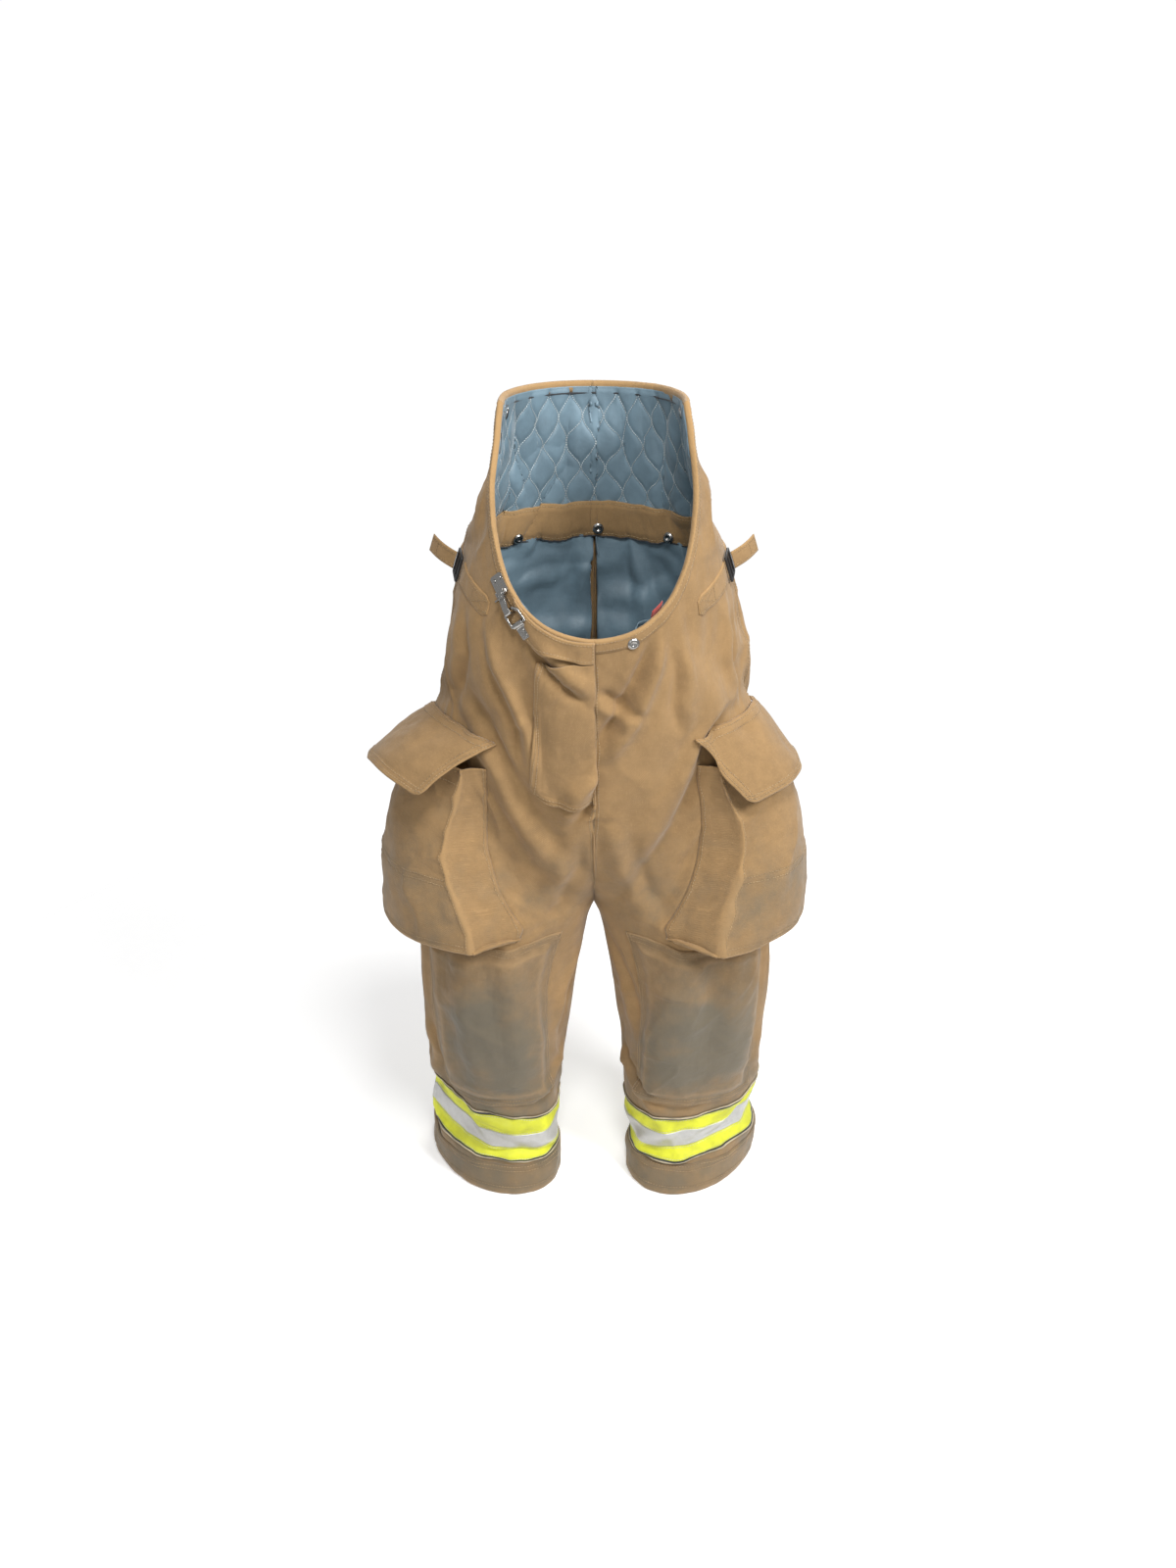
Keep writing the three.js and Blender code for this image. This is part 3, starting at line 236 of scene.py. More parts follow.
# Large folds: side, path as (phi, z), half width, height, and the offset and depth of the hollow beside the
# ridge. A positive offset puts the hollow to the right of the path as it runs.
FOLDS = [
    # the rolled fold from the left waist down to the fly's foot
    ("left", [(60, 905), (70, 836), (79, 770), (88, 722)], 9.5, 11.0, -17, 9.0),
    ("right", [(92, 722), (89, 712), (82, 665), (79, 628)], 9.0, 9.0, -15, 7.0),
    # the overhang under the waistband's overlap
    ("right", [(66, 906), (76, 868), (90, 818)], 10.0, 8.0, 15, 8.0),
    ("left", [(90, 818), (82, 792), (74, 780)], 9.0, 6.0, 14, 6.0),
    # the tall fold beside the fly
    ("right", [(45, 905), (59, 822), (67, 770), (71, 690)], 9.0, 8.0, 14, 6.0),
    # slack that hangs from the hips to the crotch
    ("left", [(40, 820), (58, 700), (74, 590), (84, 500)], 17.0, 7.0, 24, 5.0),
    ("right", [(38, 800), (56, 690), (73, 580), (84, 500)], 16.0, 6.5, -24, 5.0),
    ("left", [(84, 640), (80, 560), (70, 500), (55, 462)], 12.0, 6.0, 16, 4.0),
    ("right", [(82, 640), (79, 560), (68, 500), (52, 462)], 12.0, 6.0, -16, 4.0),
    ("left", [(52, 880), (57, 800), (55, 755)], 12.0, 5.0, -18, 3.5),
    ("left", [(24, 900), (27, 840), (22, 780)], 14.0, 5.0, 20, 4.0),
    ("right", [(24, 905), (29, 850), (24, 785)], 13.0, 5.0, -20, 4.0),
    # the seat's folds
    ("left", [(-78, 700), (-66, 600), (-62, 500)], 20.0, 8.0, 26, 6.0),
    ("right", [(-78, 690), (-64, 590), (-60, 490)], 20.0, 8.0, -26, 6.0),
    ("left", [(-40, 860), (-52, 720), (-70, 600)], 16.0, 6.0, 22, 4.0),
    ("right", [(-44, 870), (-52, 740), (-72, 610)], 16.0, 6.0, -22, 4.0),
    ("left", [(-86, 560), (-70, 505), (-40, 480)], 13.0, 8.0, 18, 6.0),
    ("right", [(-86, 550), (-70, 500), (-42, 470)], 13.0, 8.0, -18, 6.0),
    # creases behind the knees
    ("left", [(-72, 330), (-48, 345), (-18, 318)], 11.0, 8.0, 15, 7.0),
    ("left", [(-76, 285), (-50, 276), (-20, 292)], 11.0, 8.0, 15, 6.0),
    ("left", [(-70, 232), (-46, 246), (-24, 228)], 10.0, 6.0, 14, 5.0),
    ("right", [(-74, 338), (-50, 322), (-20, 336)], 11.0, 8.0, -15, 7.0),
    ("right", [(-76, 276), (-48, 292), (-22, 270)], 11.0, 8.0, -15, 6.0),
    ("right", [(-68, 236), (-44, 222), (-22, 240)], 10.0, 6.0, -14, 5.0),
    # slack above the cuffs, at the inseam and the side
    ("left", [(84, 420), (77, 330), (74, 250)], 11.0, 5.0, 14, 4.0),
    ("right", [(85, 410), (78, 320), (75, 240)], 11.0, 5.0, -14, 4.0),
    ("left", [(88, 214), (72, 176), (58, 160)], 9.0, 6.0, 12, 5.0),
    ("right", [(88, 222), (70, 182), (54, 166)], 9.0, 6.0, -12, 5.0),
    ("left", [(4, 260), (9, 200), (4, 140)], 12.0, 5.0, 15, 4.0),
    ("right", [(2, 268), (8, 205), (3, 146)], 12.0, 5.0, -15, 4.0),
    ("right", [(30, 132), (48, 118), (60, 122)], 8.0, 6.0, -11, 6.0),
    ("left", [(66, 148), (50, 136), (34, 142)], 8.0, 3.5, 11, 3.0),
    ("left", [(34, 60), (52, 50), (70, 56)], 7.0, 3.0, 9, 3.0),
    ("right", [(30, 58), (50, 64), (68, 52)], 7.0, 3.0, -9, 3.0),
]


def along_path(points, phi, z):
    """Signed distance from a path, in millimetres, and the share of the path's length at the nearest place.
    Distance is taken to each straight stretch in turn and the nearest is kept."""
    path = np.array(points, float) * (DEGREE, 1.0)
    x, y = np.asarray(phi) * DEGREE, np.asarray(z)
    legs = np.linalg.norm(np.diff(path, axis=0), axis=1)
    ends = np.concatenate([[0], np.cumsum(legs)]) / legs.sum()
    best = np.full(np.broadcast(x, y).shape, 1e9)
    signed, share = best.copy(), np.zeros_like(best)
    for k, length in enumerate(legs):
        step = (path[k + 1] - path[k]) / length
        along = (x - path[k][0]) * step[0] + (y - path[k][1]) * step[1]
        across = (x - path[k][0]) * step[1] - (y - path[k][1]) * step[0]
        held = np.clip(along, 0, length)
        distance = np.hypot(across, along - held)
        near = distance < best
        best = np.where(near, distance, best)
        signed = np.where(near, np.where(across < 0, -distance, distance), signed)
        share = np.where(near, ends[k] + (ends[k + 1] - ends[k]) * held / length, share)
    return signed, share


def fold_height(side, phi, z, scale):
    """Height of the folds: each is a Gaussian ridge with a Gaussian hollow beside it, fading at both of its
    ends. Broad, low noise is added, drawn out along the garment's drop."""
    height = np.zeros(np.broadcast(phi, z).shape)
    for of_side, path, width, tall, offset, deep in FOLDS:
        if of_side != side:
            continue
        distance, share = along_path(path, phi, z)
        fade = ease(0, 0.28, share) * ease(1, 0.72, share) * 0.85 + 0.15
        shape = tall * np.exp(-((distance / width) ** 2))
        shape -= deep * np.exp(-(((distance - offset) / (0.75 * width)) ** 2))
        height += fade * shape
    seed = 5 if side == "left" else 11
    u, v = phi * DEGREE, z + 0.25 * phi * DEGREE
    height += 3.2 * noise(u / 70, v / 150, seed, 2) + 1.1 * noise(u / 22, v / 40, seed + 3, 2)
    ridged = lambda a, b, n: (1 - np.abs(noise(a, b, seed + n))) ** 5
    patch = ease(-0.25, 0.4, noise(u / 110, z / 130, seed + 20))
    height += 3.0 * patch * ridged((u + 0.7 * z) / 75, (z - 0.3 * u) / 150, 14)
    height += 2.4 * (1 - patch) * ridged((u - 0.6 * z) / 90, z / 120, 17)
    low = ease(330, 120, z)
    height += low * 2.6 * noise(u / 60, v / 24, seed + 9, 2)
    return height * scale


def seam_groove(distance, width=3.0, depth=1.3):
    """How far a sewn seam pulls the cloth in: a narrow bell across the seam."""
    return -depth * np.exp(-((distance / width) ** 2))


def blurred(grid, times):
    """A grid of points or directions averaged with its neighbours, each pass by quarters and a half both
    ways."""
    for _ in range(times):
        for axis in (0, 1):
            padded = np.concatenate([grid.take([0], axis), grid, grid.take([-1], axis)], axis)
            count = grid.shape[axis]
            near = padded.take(range(count), axis) + padded.take(range(2, count + 2), axis)
            grid = grid * 0.5 + near * 0.25
    return grid


def joined(face, halves):
    """Closes the seams between the grids of the two halves: they share one line at the centre, and below the
    crotch each leg's front and back share the inseam. Each correction fades over sixteen degrees."""
    heights = face.heights()
    at_front, at_back = heights[-1], heights[0]
    middle = {}
    for end in (-1, 0):
        mean = (halves["left"][end] + halves["right"][end]) / 2
        mean[:, 0] = 0
        middle[end] = mean
    for side, points in halves.items():
        read = lambda end, z: np.stack([np.interp(z, heights[end], points[end][:, k]) for k in range(3)], -1)
        for end, z, other in ((-1, at_front, 0), (0, at_back, -1)):
            inseam = (points[end] + read(other, z)) / 2
            above = ease(INSEAM - 10, INSEAM + 2, z)[:, None]
            target = middle[end] * above + inseam * (1 - above)
            shift = target - points[end]
            near = ease(74, 90, face.phi if end == -1 else -face.phi)[:, None, None]
            # The correction is carried along each row at the row's own height.
            moved = np.stack([np.interp(heights, z, shift[:, k]) for k in range(3)], -1)
            halves[side] = halves[side] + moved * near
    return halves


class Face:
    """The settled outer face as a grid for each half: angles from -90 to 90, and shares of the height to the
    rim."""

    def __init__(self, columns, rows):
        self.phi = np.linspace(-90, 90, columns)
        self.share = np.linspace(0, 1, rows)
        self.points, self.normals, self.broad = {}, {}, {}

    def heights(self, phi=None):
        phi = self.phi if phi is None else phi
        return self.share[None, :] * rim(phi)[:, None]

    def set(self, side, points):
        self.points[side] = points
        up = np.gradient(points, axis=1)
        round_ = np.gradient(points, axis=0)
        normal = np.cross(up, round_) * SIDES[side]
        self.normals[side] = normal / np.maximum(np.linalg.norm(normal, axis=-1, keepdims=True), 1e-9)
        self.broad[side] = blurred(np.concatenate([points, self.normals[side]], -1), 90)

    def sample(self, grid, phi, z):
        """A grid's value at any angle and height, blended from the four nearest of its points."""
        phi, z = np.broadcast_arrays(np.asarray(phi, float), np.asarray(z, float))
        i = np.clip((phi + 90) / 180 * (len(self.phi) - 1), 0, len(self.phi) - 1.001)
        j = np.clip(z / rim(phi) * (len(self.share) - 1), 0, len(self.share) - 1.001)
        a, b = i.astype(int), j.astype(int)
        s, t = (i - a)[..., None], (j - b)[..., None]
        low = grid[a, b] * (1 - s) + grid[a + 1, b] * s
        high = grid[a, b + 1] * (1 - s) + grid[a + 1, b + 1] * s
        return low * (1 - t) + high * t

    def at(self, side, phi, z, lift=0.0):
        """Points on one half, moved out along the face by lift."""
        normal = self.sample(self.normals[side], phi, z)
        normal = normal / np.linalg.norm(normal, axis=-1, keepdims=True)
        return self.sample(self.points[side], phi, z) + normal * np.asarray(lift)[..., None], normal

    def off(self, side, phi, z, lift):
        """Points that stand well off one half: the further they are, the less of its folds they follow."""
        lift = np.asarray(lift, float)
        near, normal = self.at(side, phi, z)
        broad = self.sample(self.broad[side], phi, z)
        share = ease(1, 14, lift)[..., None]
        normal = normal * (1 - share) + broad[..., 3:] * share
        normal /= np.linalg.norm(normal, axis=-1, keepdims=True)
        place = near * (1 - share) + broad[..., :3] * share
        return place + normal * lift[..., None], normal

    def round(self, psi, z, lift=0.0):
        """Points anywhere round the garment: psi is 0 at the left side, 90 at the front and 180 at the right
        side."""
        psi, z, lift = np.broadcast_arrays(*(np.asarray(value, float) for value in (psi, z, lift)))
        turned = (psi + 90) % 360 - 90
        on_left = turned <= 90
        phi = np.where(on_left, turned, 180 - turned)
        left, left_normal = self.at("left", phi, z, lift)
        right, right_normal = self.at("right", phi, z, lift)
        pick = on_left[..., None]
        return np.where(pick, left, right), np.where(pick, left_normal, right_normal)


def settle(strength):
    """Runs Blender's Cloth on a coarse copy of both halves, joined at the centre and at the inseams, and
    gives each half's movement. The cloth is a little larger than its shape, so it buckles into small folds.
    The top edge, the cuffs and the pockets' seams hold it, and no point moves more than the cap."""
    columns, rows, cap = 73, 116, 13.0
    coarse = Face(columns, rows)
    heights = coarse.heights()
    phi = np.repeat(coarse.phi[:, None], rows, axis=1)
    halves = {}
    for side in SIDES:
        halves[side], _ = bare_face(coarse, side)
    halves = joined(coarse, halves)
    every = np.concatenate([halves[side].reshape(-1, 3) for side in SIDES])
    _, first, owner = np.unique(np.round(every, 1), axis=0, return_index=True, return_inverse=True)
    owner = owner.reshape(-1)
    by_half = []
    for k, side in enumerate(SIDES):
        index = (k * columns * rows + np.arange(columns * rows)).reshape(columns, rows)
        corner = [index[:-1, :-1], index[1:, :-1], index[1:, 1:], index[:-1, 1:]]
        if side == "right":
            corner = corner[::-1]
        by_half.append(np.stack(corner, -1).reshape(-1, 4))
    faces = owner[np.concatenate(by_half)]
    mesh = bpy.data.meshes.new("settling")
    mesh.from_pydata(every[first] * MM, [], faces.tolist())
    cloth = bpy.data.objects.new("settling", mesh)
    bpy.context.scene.collection.objects.link(cloth)
    held = np.full((columns, rows), 0.012)
    held = np.maximum(held, ease(rim(phi) - 45, rim(phi) - 12, heights))
    held = np.maximum(held, ease(60, 20, heights))
    pocket = ease(-16, -6, phi) * ease(60, 50, phi) * ease(430, 455, heights) * ease(765, 745, heights)
    held = np.maximum(held, 0.35 * pocket)
    straps = ease(-48, -40, phi) * ease(54, 46, phi) * ease(905, 925, heights) * ease(985, 968, heights)
    held = np.maximum(held, 0.5 * straps)
    knee = ease(10, 16, phi) * ease(72, 66, phi) * ease(150, 165, heights) * ease(440, 425, heights)
    held = np.maximum(held, 0.03 * knee)
    weights = np.tile(held.reshape(-1), 2)[first]
    group = cloth.vertex_groups.new(name="held")
    levels = np.round(weights, 2)
    for level in np.unique(levels):
        group.add(np.flatnonzero(levels == level).tolist(), float(max(level, 0.01)), "REPLACE")
    modifier = cloth.modifiers.new("Cloth", "CLOTH")
    settings = modifier.settings
    settings.quality = 6
    settings.mass = 0.35
    settings.tension_stiffness = settings.compression_stiffness = 30
    settings.shear_stiffness = 12
    settings.bending_stiffness = 1.2
    settings.vertex_group_mass = "held"
    settings.pin_stiffness = 1.0
    settings.shrink_min = -0.055
    settings.effector_weights.gravity = 0.35
    modifier.collision_settings.use_collision = False
    scene = bpy.context.scene
    modifier.point_cache.frame_start, modifier.point_cache.frame_end = 1, 26
    for number in range(1, 27):
        scene.frame_set(number)
    settled = cloth.evaluated_get(bpy.context.evaluated_depsgraph_get()).data
    moved = np.empty(len(settled.vertices) * 3)
    settled.vertices.foreach_get("co", moved)
    moved = moved.reshape(-1, 3) / MM - every[first]
    scene.frame_set(1)
    bpy.data.objects.remove(cloth)
    length = np.linalg.norm(moved, axis=1, keepdims=True)
    moved *= np.minimum(1, cap / np.maximum(length, 1e-6)) * strength
    whole = moved[owner].reshape(2, columns, rows, 3)
    return coarse, {side: blurred(whole[k], 1) for k, side in enumerate(SIDES)}


def bare_face(face, side):
    """The face before it settles: the body with its folds and its seams' grooves, mirrored for the right
    half."""
    settings = bpy.context.scene.pants_cloth
    phi = np.repeat(face.phi[:, None], len(face.share), axis=1)
    heights = face.heights()
    point = body(phi, heights)
    small = 0.3
    up = body(phi, heights + small) - body(phi, heights - small)
    inner = np.clip(phi, -89.7, 89.7)
    across = body(inner + small, heights) - body(inner - small, heights)
    normal = np.cross(up, across)
    normal /= np.maximum(np.linalg.norm(normal, axis=-1, keepdims=True), 1e-9)
    height = fold_height(side, phi, heights, settings.fold_height)
    near_top = ease(rim(phi) - 5, rim(phi) - 60, heights)
    near_floor = ease(0, 30, heights)
    edges = ease(90, 84, np.abs(phi)) * (heights < FORK_TOP) + (heights >= FORK_TOP)
    straps = ease(-48, -40, phi) * ease(54, 46, phi) * ease(905, 925, heights) * ease(985, 968, heights)
    height *= (0.25 + 0.75 * near_top) * near_floor * edges * (1 - 0.8 * straps)
    height = np.clip(height, -13, 15)
    height += seam_groove(phi * DEGREE) + seam_groove((90 - np.abs(phi)) * DEGREE, 3.5, 1.6)
    point = point + normal * height[..., None]
    point[..., 0] *= SIDES[side]
    normal[..., 0] *= SIDES[side]
    return point, normal


_face = {}


def outer_face():
    """The settled face, worked out once for the whole garment."""
    if "face" not in _face:
        face = Face(241, 301)
        settings = bpy.context.scene.pants_cloth
        moves = None
        coarse, moves = settle(settings.settling)
        phi = np.repeat(face.phi[:, None], len(face.share), axis=1)
        heights = face.heights()
        halves = {}
        for side in SIDES:
            halves[side], _ = bare_face(face, side)
            if moves is not None:
                halves[side] = halves[side] + coarse.sample(moves[side], phi, heights)
        for side, points in joined(face, halves).items():
            face.set(side, points)
        _face["face"] = face
    return _face["face"]


# ---- Meshes ----


def quads(columns, rows, closed=False):
    """Faces of a grid, whose columns may close into a ring."""
    index = np.arange(columns * rows).reshape(columns, rows)
    if closed:
        index = np.concatenate([index, index[:1]])
    return np.stack([index[:-1, :-1], index[1:, :-1], index[1:, 1:], index[:-1, 1:]], -1).reshape(-1, 4)


def face_normals(points, faces):
    a, b, c = points[faces[:, 0]], points[faces[:, 1]], points[faces[:, 2]]
    return np.cross(b - a, c - a)


def make_piece(name, points, faces, finish, body_name="garment", uv=None, values=None):
    """A smooth mesh in the frame's own metres, with a slot's finish, that rides on a body."""
    mesh = bpy.data.meshes.new(name)
    mesh.from_pydata((np.asarray(points).reshape(-1, 3) + CENTRE) * MM, [], faces.tolist())
    if uv is not None:
        corners = np.empty(len(mesh.loops), int)
        mesh.loops.foreach_get("vertex_index", corners)
        layer = mesh.uv_layers.new(name="cloth")
        layer.uv.foreach_set("vector", (uv.reshape(-1, 2)[corners] * MM).astype(np.float32).ravel())
    for key, value in (values or {}).items():
        attribute = mesh.attributes.new(key, "FLOAT", "POINT")
        attribute.data.foreach_set("value", np.asarray(value, np.float32).ravel())
    mesh.polygons.foreach_set("use_smooth", [True] * len(mesh.polygons))
    piece = bpy.data.objects.new(name, mesh)
    bpy.context.scene.collection.objects.link(piece)
    mesh.materials.append(material(finish))
    if body_name:
        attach(piece, body_name)
    return piece


def cloth_piece(
    name, points, outward, finish, thick=1.6, body_name="garment", uv=None, values=None, closed=False
):
    """A grid of cloth with a thickness on its inner side. Its faces are turned to agree with the outward
    normals."""
    columns, rows = points.shape[:2]
    faces = quads(columns, rows, closed)
    flat = points.reshape(-1, 3)
    agreement = (face_normals(flat, faces) * np.asarray(outward).reshape(-1, 3)[faces[:, 0]]).sum()
    if agreement < 0:
        faces = faces[:, ::-1]
    piece = make_piece(name, points, faces, finish, body_name, uv, values)
    if thick:
        wall = piece.modifiers.new("Cloth thickness", "SOLIDIFY")
        wall.thickness, wall.offset = thick * MM, -1
        wall.use_even_offset = False
        wall.use_quality_normals = True
    return piece


def declare_sheet(points):
    """Works out a sheet's cut, as wide and as long as its longest rows and columns, and its own area; the
    results are not kept."""
    across = np.linalg.norm(np.diff(points, axis=0), axis=-1).sum(0).max() * MM
    along = np.linalg.norm(np.diff(points, axis=1), axis=-1).sum(1).max() * MM
    one = np.cross(points[1:, :-1] - points[:-1, :-1], points[:-1, 1:] - points[:-1, :-1])
    two = np.cross(points[:-1, 1:] - points[1:, 1:], points[1:, :-1] - points[1:, 1:])
    area = (np.linalg.norm(one, axis=-1).sum() + np.linalg.norm(two, axis=-1).sum()) / 2 * MM**2
    flat = (float(across), float(along))
    area = float(min(area, flat[0] * flat[1]))


def resampled(points, normals, step):
    """The middles, directions and normals of equal steps along a line of points."""
    lengths = np.linalg.norm(np.diff(points, axis=0), axis=1)
    along = np.concatenate([[0], np.cumsum(lengths)])
    places = np.arange(step / 2, along[-1], step)
    pick = lambda values, at: np.stack([np.interp(at, along, values[:, k]) for k in range(3)], -1)
    middle, normal = pick(points, places), pick(normals, places)
    direction = pick(points, places + step * 0.3) - pick(points, places - step * 0.3)
    unit = lambda v: v / np.maximum(np.linalg.norm(v, axis=1, keepdims=True), 1e-9)
    return middle, unit(direction), unit(normal)


# One stitch: two ends and two square waists, in stitch lengths along and thread widths across.
STITCH = np.array(
    [(-0.5, 0, 0)]
    + [(-0.3, y, z) for y, z in ((0.5, 0), (0, 1), (-0.5, 0), (0, -0.6))]
    + [(0.3, y, z) for y, z in ((0.5, 0), (0, 1), (-0.5, 0), (0, -0.6))]
    + [(0.5, 0, 0)]
)
STITCH_FACES = (
    [(0, 1 + (k + 1) % 4, 1 + k) for k in range(4)]
    + [(9, 5 + k, 5 + (k + 1) % 4) for k in range(4)]
    + [(1 + k, 1 + (k + 1) % 4, 5 + (k + 1) % 4) for k in range(4)]
    + [(1 + k, 5 + (k + 1) % 4, 5 + k) for k in range(4)]
)


def seam_row(points, normals, index, rise=0.3):
    """One line of a grid, just proud of it, with its normals: where a row of stitches lies."""
    return points[index] + normals[index] * rise, normals[index]


def stitches(name, lines, finish, body_name="garment", pitch=4.4, length=3.3, width=1.0):
    """Thread laid along lines of points: one low-sided stitch is repeated at every step of every line."""
    points, faces, start = [], [], 0
    for line, normals in lines:
        middle, along, out = resampled(np.asarray(line), np.asarray(normals), pitch)
        if not len(middle):
            continue
        side = np.cross(out, along)
        shape = STITCH * (length, width, width * 0.55)
        one = (
            middle[:, None]
            + along[:, None] * shape[None, :, :1]
            + side[:, None] * shape[None, :, 1:2]
            + out[:, None] * shape[None, :, 2:]
        )
        points.append(one.reshape(-1, 3))
        first_points = start + len(STITCH) * np.arange(len(middle))[:, None, None]
        faces.append((np.array(STITCH_FACES)[None] + first_points).reshape(-1, 3))
        start += one.shape[0] * one.shape[1]
    return make_piece(name, np.concatenate(points), np.concatenate(faces), finish, body_name)


def tube(name, line, normals, radius, finish, sides=8, closed=False, body_name="garment"):
    """A round cord of cloth along a line: a circle carried along it, level with the surface's normal."""
    line, normals = np.asarray(line), np.asarray(normals)
    along = np.gradient(line, axis=0)
    along /= np.maximum(np.linalg.norm(along, axis=1, keepdims=True), 1e-9)
    side = np.cross(normals, along)
    angle = np.linspace(0, 2 * np.pi, sides, endpoint=False)
    ring = np.cos(angle)[None, :, None] * side[:, None] + np.sin(angle)[None, :, None] * normals[:, None]
    points = (line[:, None] + radius * ring).transpose(1, 0, 2)
    faces = quads(sides, len(line), True)
    outward = ring.transpose(1, 0, 2).reshape(-1, 3)
    if (face_normals(points.reshape(-1, 3), faces) * outward[faces[:, 0]]).sum() < 0:
        faces = faces[:, ::-1]
    ends = [list(range(first, sides * len(line), len(line))) for first in (0, len(line) - 1)]
    piece = make_piece(name, points, faces, finish, body_name)
    if not closed:
        mesh = piece.data
        shape = bmesh.new()
        shape.from_mesh(mesh)
        shape.verts.ensure_lookup_table()
        for end in ends:
            shape.faces.new([shape.verts[k] for k in end])
        bmesh.ops.recalc_face_normals(shape, faces=shape.faces)
        shape.to_mesh(mesh)
        shape.free()
    return piece


def soil_at(side, phi, z):
    """How soiled the cloth is: the knees, the lower legs, the seat's edge and the pockets' lower parts."""
    knee = np.exp(-(((phi - 40) * DEGREE / 75) ** 2) - ((z - 280) / 95) ** 2)
    low = 0.42 * ease(360, 60, z)
    seat = 0.22 * np.exp(-(((z - 520) / 90) ** 2))
    patches = 0.5 + 0.5 * noise(phi * DEGREE / 45, z / 45, 41 if side == "left" else 43, 3)
    return np.clip((0.95 * knee + low + seat + 0.12) * (0.4 + 1.1 * patches), 0, 1)


def cloth_values(side, phi, z, wear=None):
    """The attributes that the cloth's materials read."""
    phi, z = np.broadcast_arrays(phi, z)
    return {"soil": soil_at(side, phi, z), "wear": np.zeros(phi.shape) if wear is None else wear}


def cloth_uv(phi, z):
    phi, z = np.broadcast_arrays(phi, z)
    return np.stack([phi * DEGREE, z], -1)


# ---- Materials ----


class Nodes:
    """Adds nodes to a tree and joins them: a value that is a socket is linked, and any other is set."""

    def __init__(self, tree):
        self.tree = tree

    def add(self, kind, inputs=None, **settings):
        node = self.tree.nodes.new(kind)
        for key, value in settings.items():
            setattr(node, key, value)
        for key, value in (inputs or {}).items():
            self.put(value, node.inputs[key])
        return node

    def put(self, value, socket):
        if isinstance(value, bpy.types.NodeSocket):
            self.tree.links.new(value, socket)
        else:
            socket.default_value = value

    def math(self, operation, a, b=0.0, clamp=False):
        return self.add("ShaderNodeMath", {0: a, 1: b}, operation=operation, use_clamp=clamp).outputs[0]

    def mix(self, share, a, b):
        node = self.add("ShaderNodeMix", data_type="RGBA")
        for key, value in (("Factor_Float", share), ("A_Color", a), ("B_Color", b)):
            self.put(value, next(s for s in node.inputs if s.identifier == key))
        return next(s for s in node.outputs if s.identifier == "Result_Color")

    def ramp(self, value, low, high):
        """A value's share of the way from low to high, eased."""
        return self.add(
            "ShaderNodeMapRange",
            {"Value": value, "From Min": low, "From Max": high},
            interpolation_type="SMOOTHSTEP",
        ).outputs["Result"]

    def noise(self, vector, scale, detail=3.0, roughness=0.55):
        inputs = {"Vector": vector, "Scale": scale, "Detail": detail, "Roughness": roughness}
        return self.add("ShaderNodeTexNoise", inputs).outputs["Fac"]

    def scaled(self, vector, scale):
        return self.add("ShaderNodeMapping", {"Vector": vector, "Scale": scale}).outputs["Vector"]

    def attribute(self, name):
        return self.add("ShaderNodeAttribute", attribute_name=name).outputs["Fac"]

    def group(self, name, **inputs):
        node = self.add("ShaderNodeGroup")
        node.node_tree = bpy.data.node_groups[name]
        for key, value in inputs.items():
            self.put(value, node.inputs[key.replace("_", " ").title()])
        return node.outputs

    def uv(self):
        return self.add("ShaderNodeUVMap", uv_map="cloth").outputs[0]

    def place(self):
        return self.add("ShaderNodeTexCoord").outputs["Object"]

    def tinted(self, ground, mask, share, colour):
        """The ground, with a share of another colour where the mask is."""
        return self.mix(self.math("MULTIPLY", mask, share), ground, colour)

    def mottled(self, place, scale, colour, low, high):
        """A colour in patches, between a darker and a paler shade of itself."""
        ends = {"first": darker(colour, low), "second": darker(colour, high)}
        return self.group("Mottling", vector=place, scale=scale, **ends)["Color"]

    def grime(self, place, attribute, scale):
        return self.group("Grime", vector=place, mask=self.attribute(attribute), scale=scale)["Mask"]

    def bump(self, height, distance, strength):
        inputs = {"Height": height, "Distance": distance, "Strength": strength}
        return self.add("ShaderNodeBump", inputs).outputs[0]


def new_group(name, inputs, outputs):
    """An empty shader group with named sockets, its nodes, and its input and output ends."""
    tree = bpy.data.node_groups.new(name, "ShaderNodeTree")
    for direction, sockets in (("INPUT", inputs), ("OUTPUT", outputs)):
        for socket_name, kind, *default in sockets:
            socket = tree.interface.new_socket(socket_name, in_out=direction, socket_type=f"NodeSocket{kind}")
            if default:
                socket.default_value = default[0]
    nodes = Nodes(tree)
    start, end = tree.nodes.new("NodeGroupInput"), tree.nodes.new("NodeGroupOutput")
    return nodes, start.outputs, end.inputs


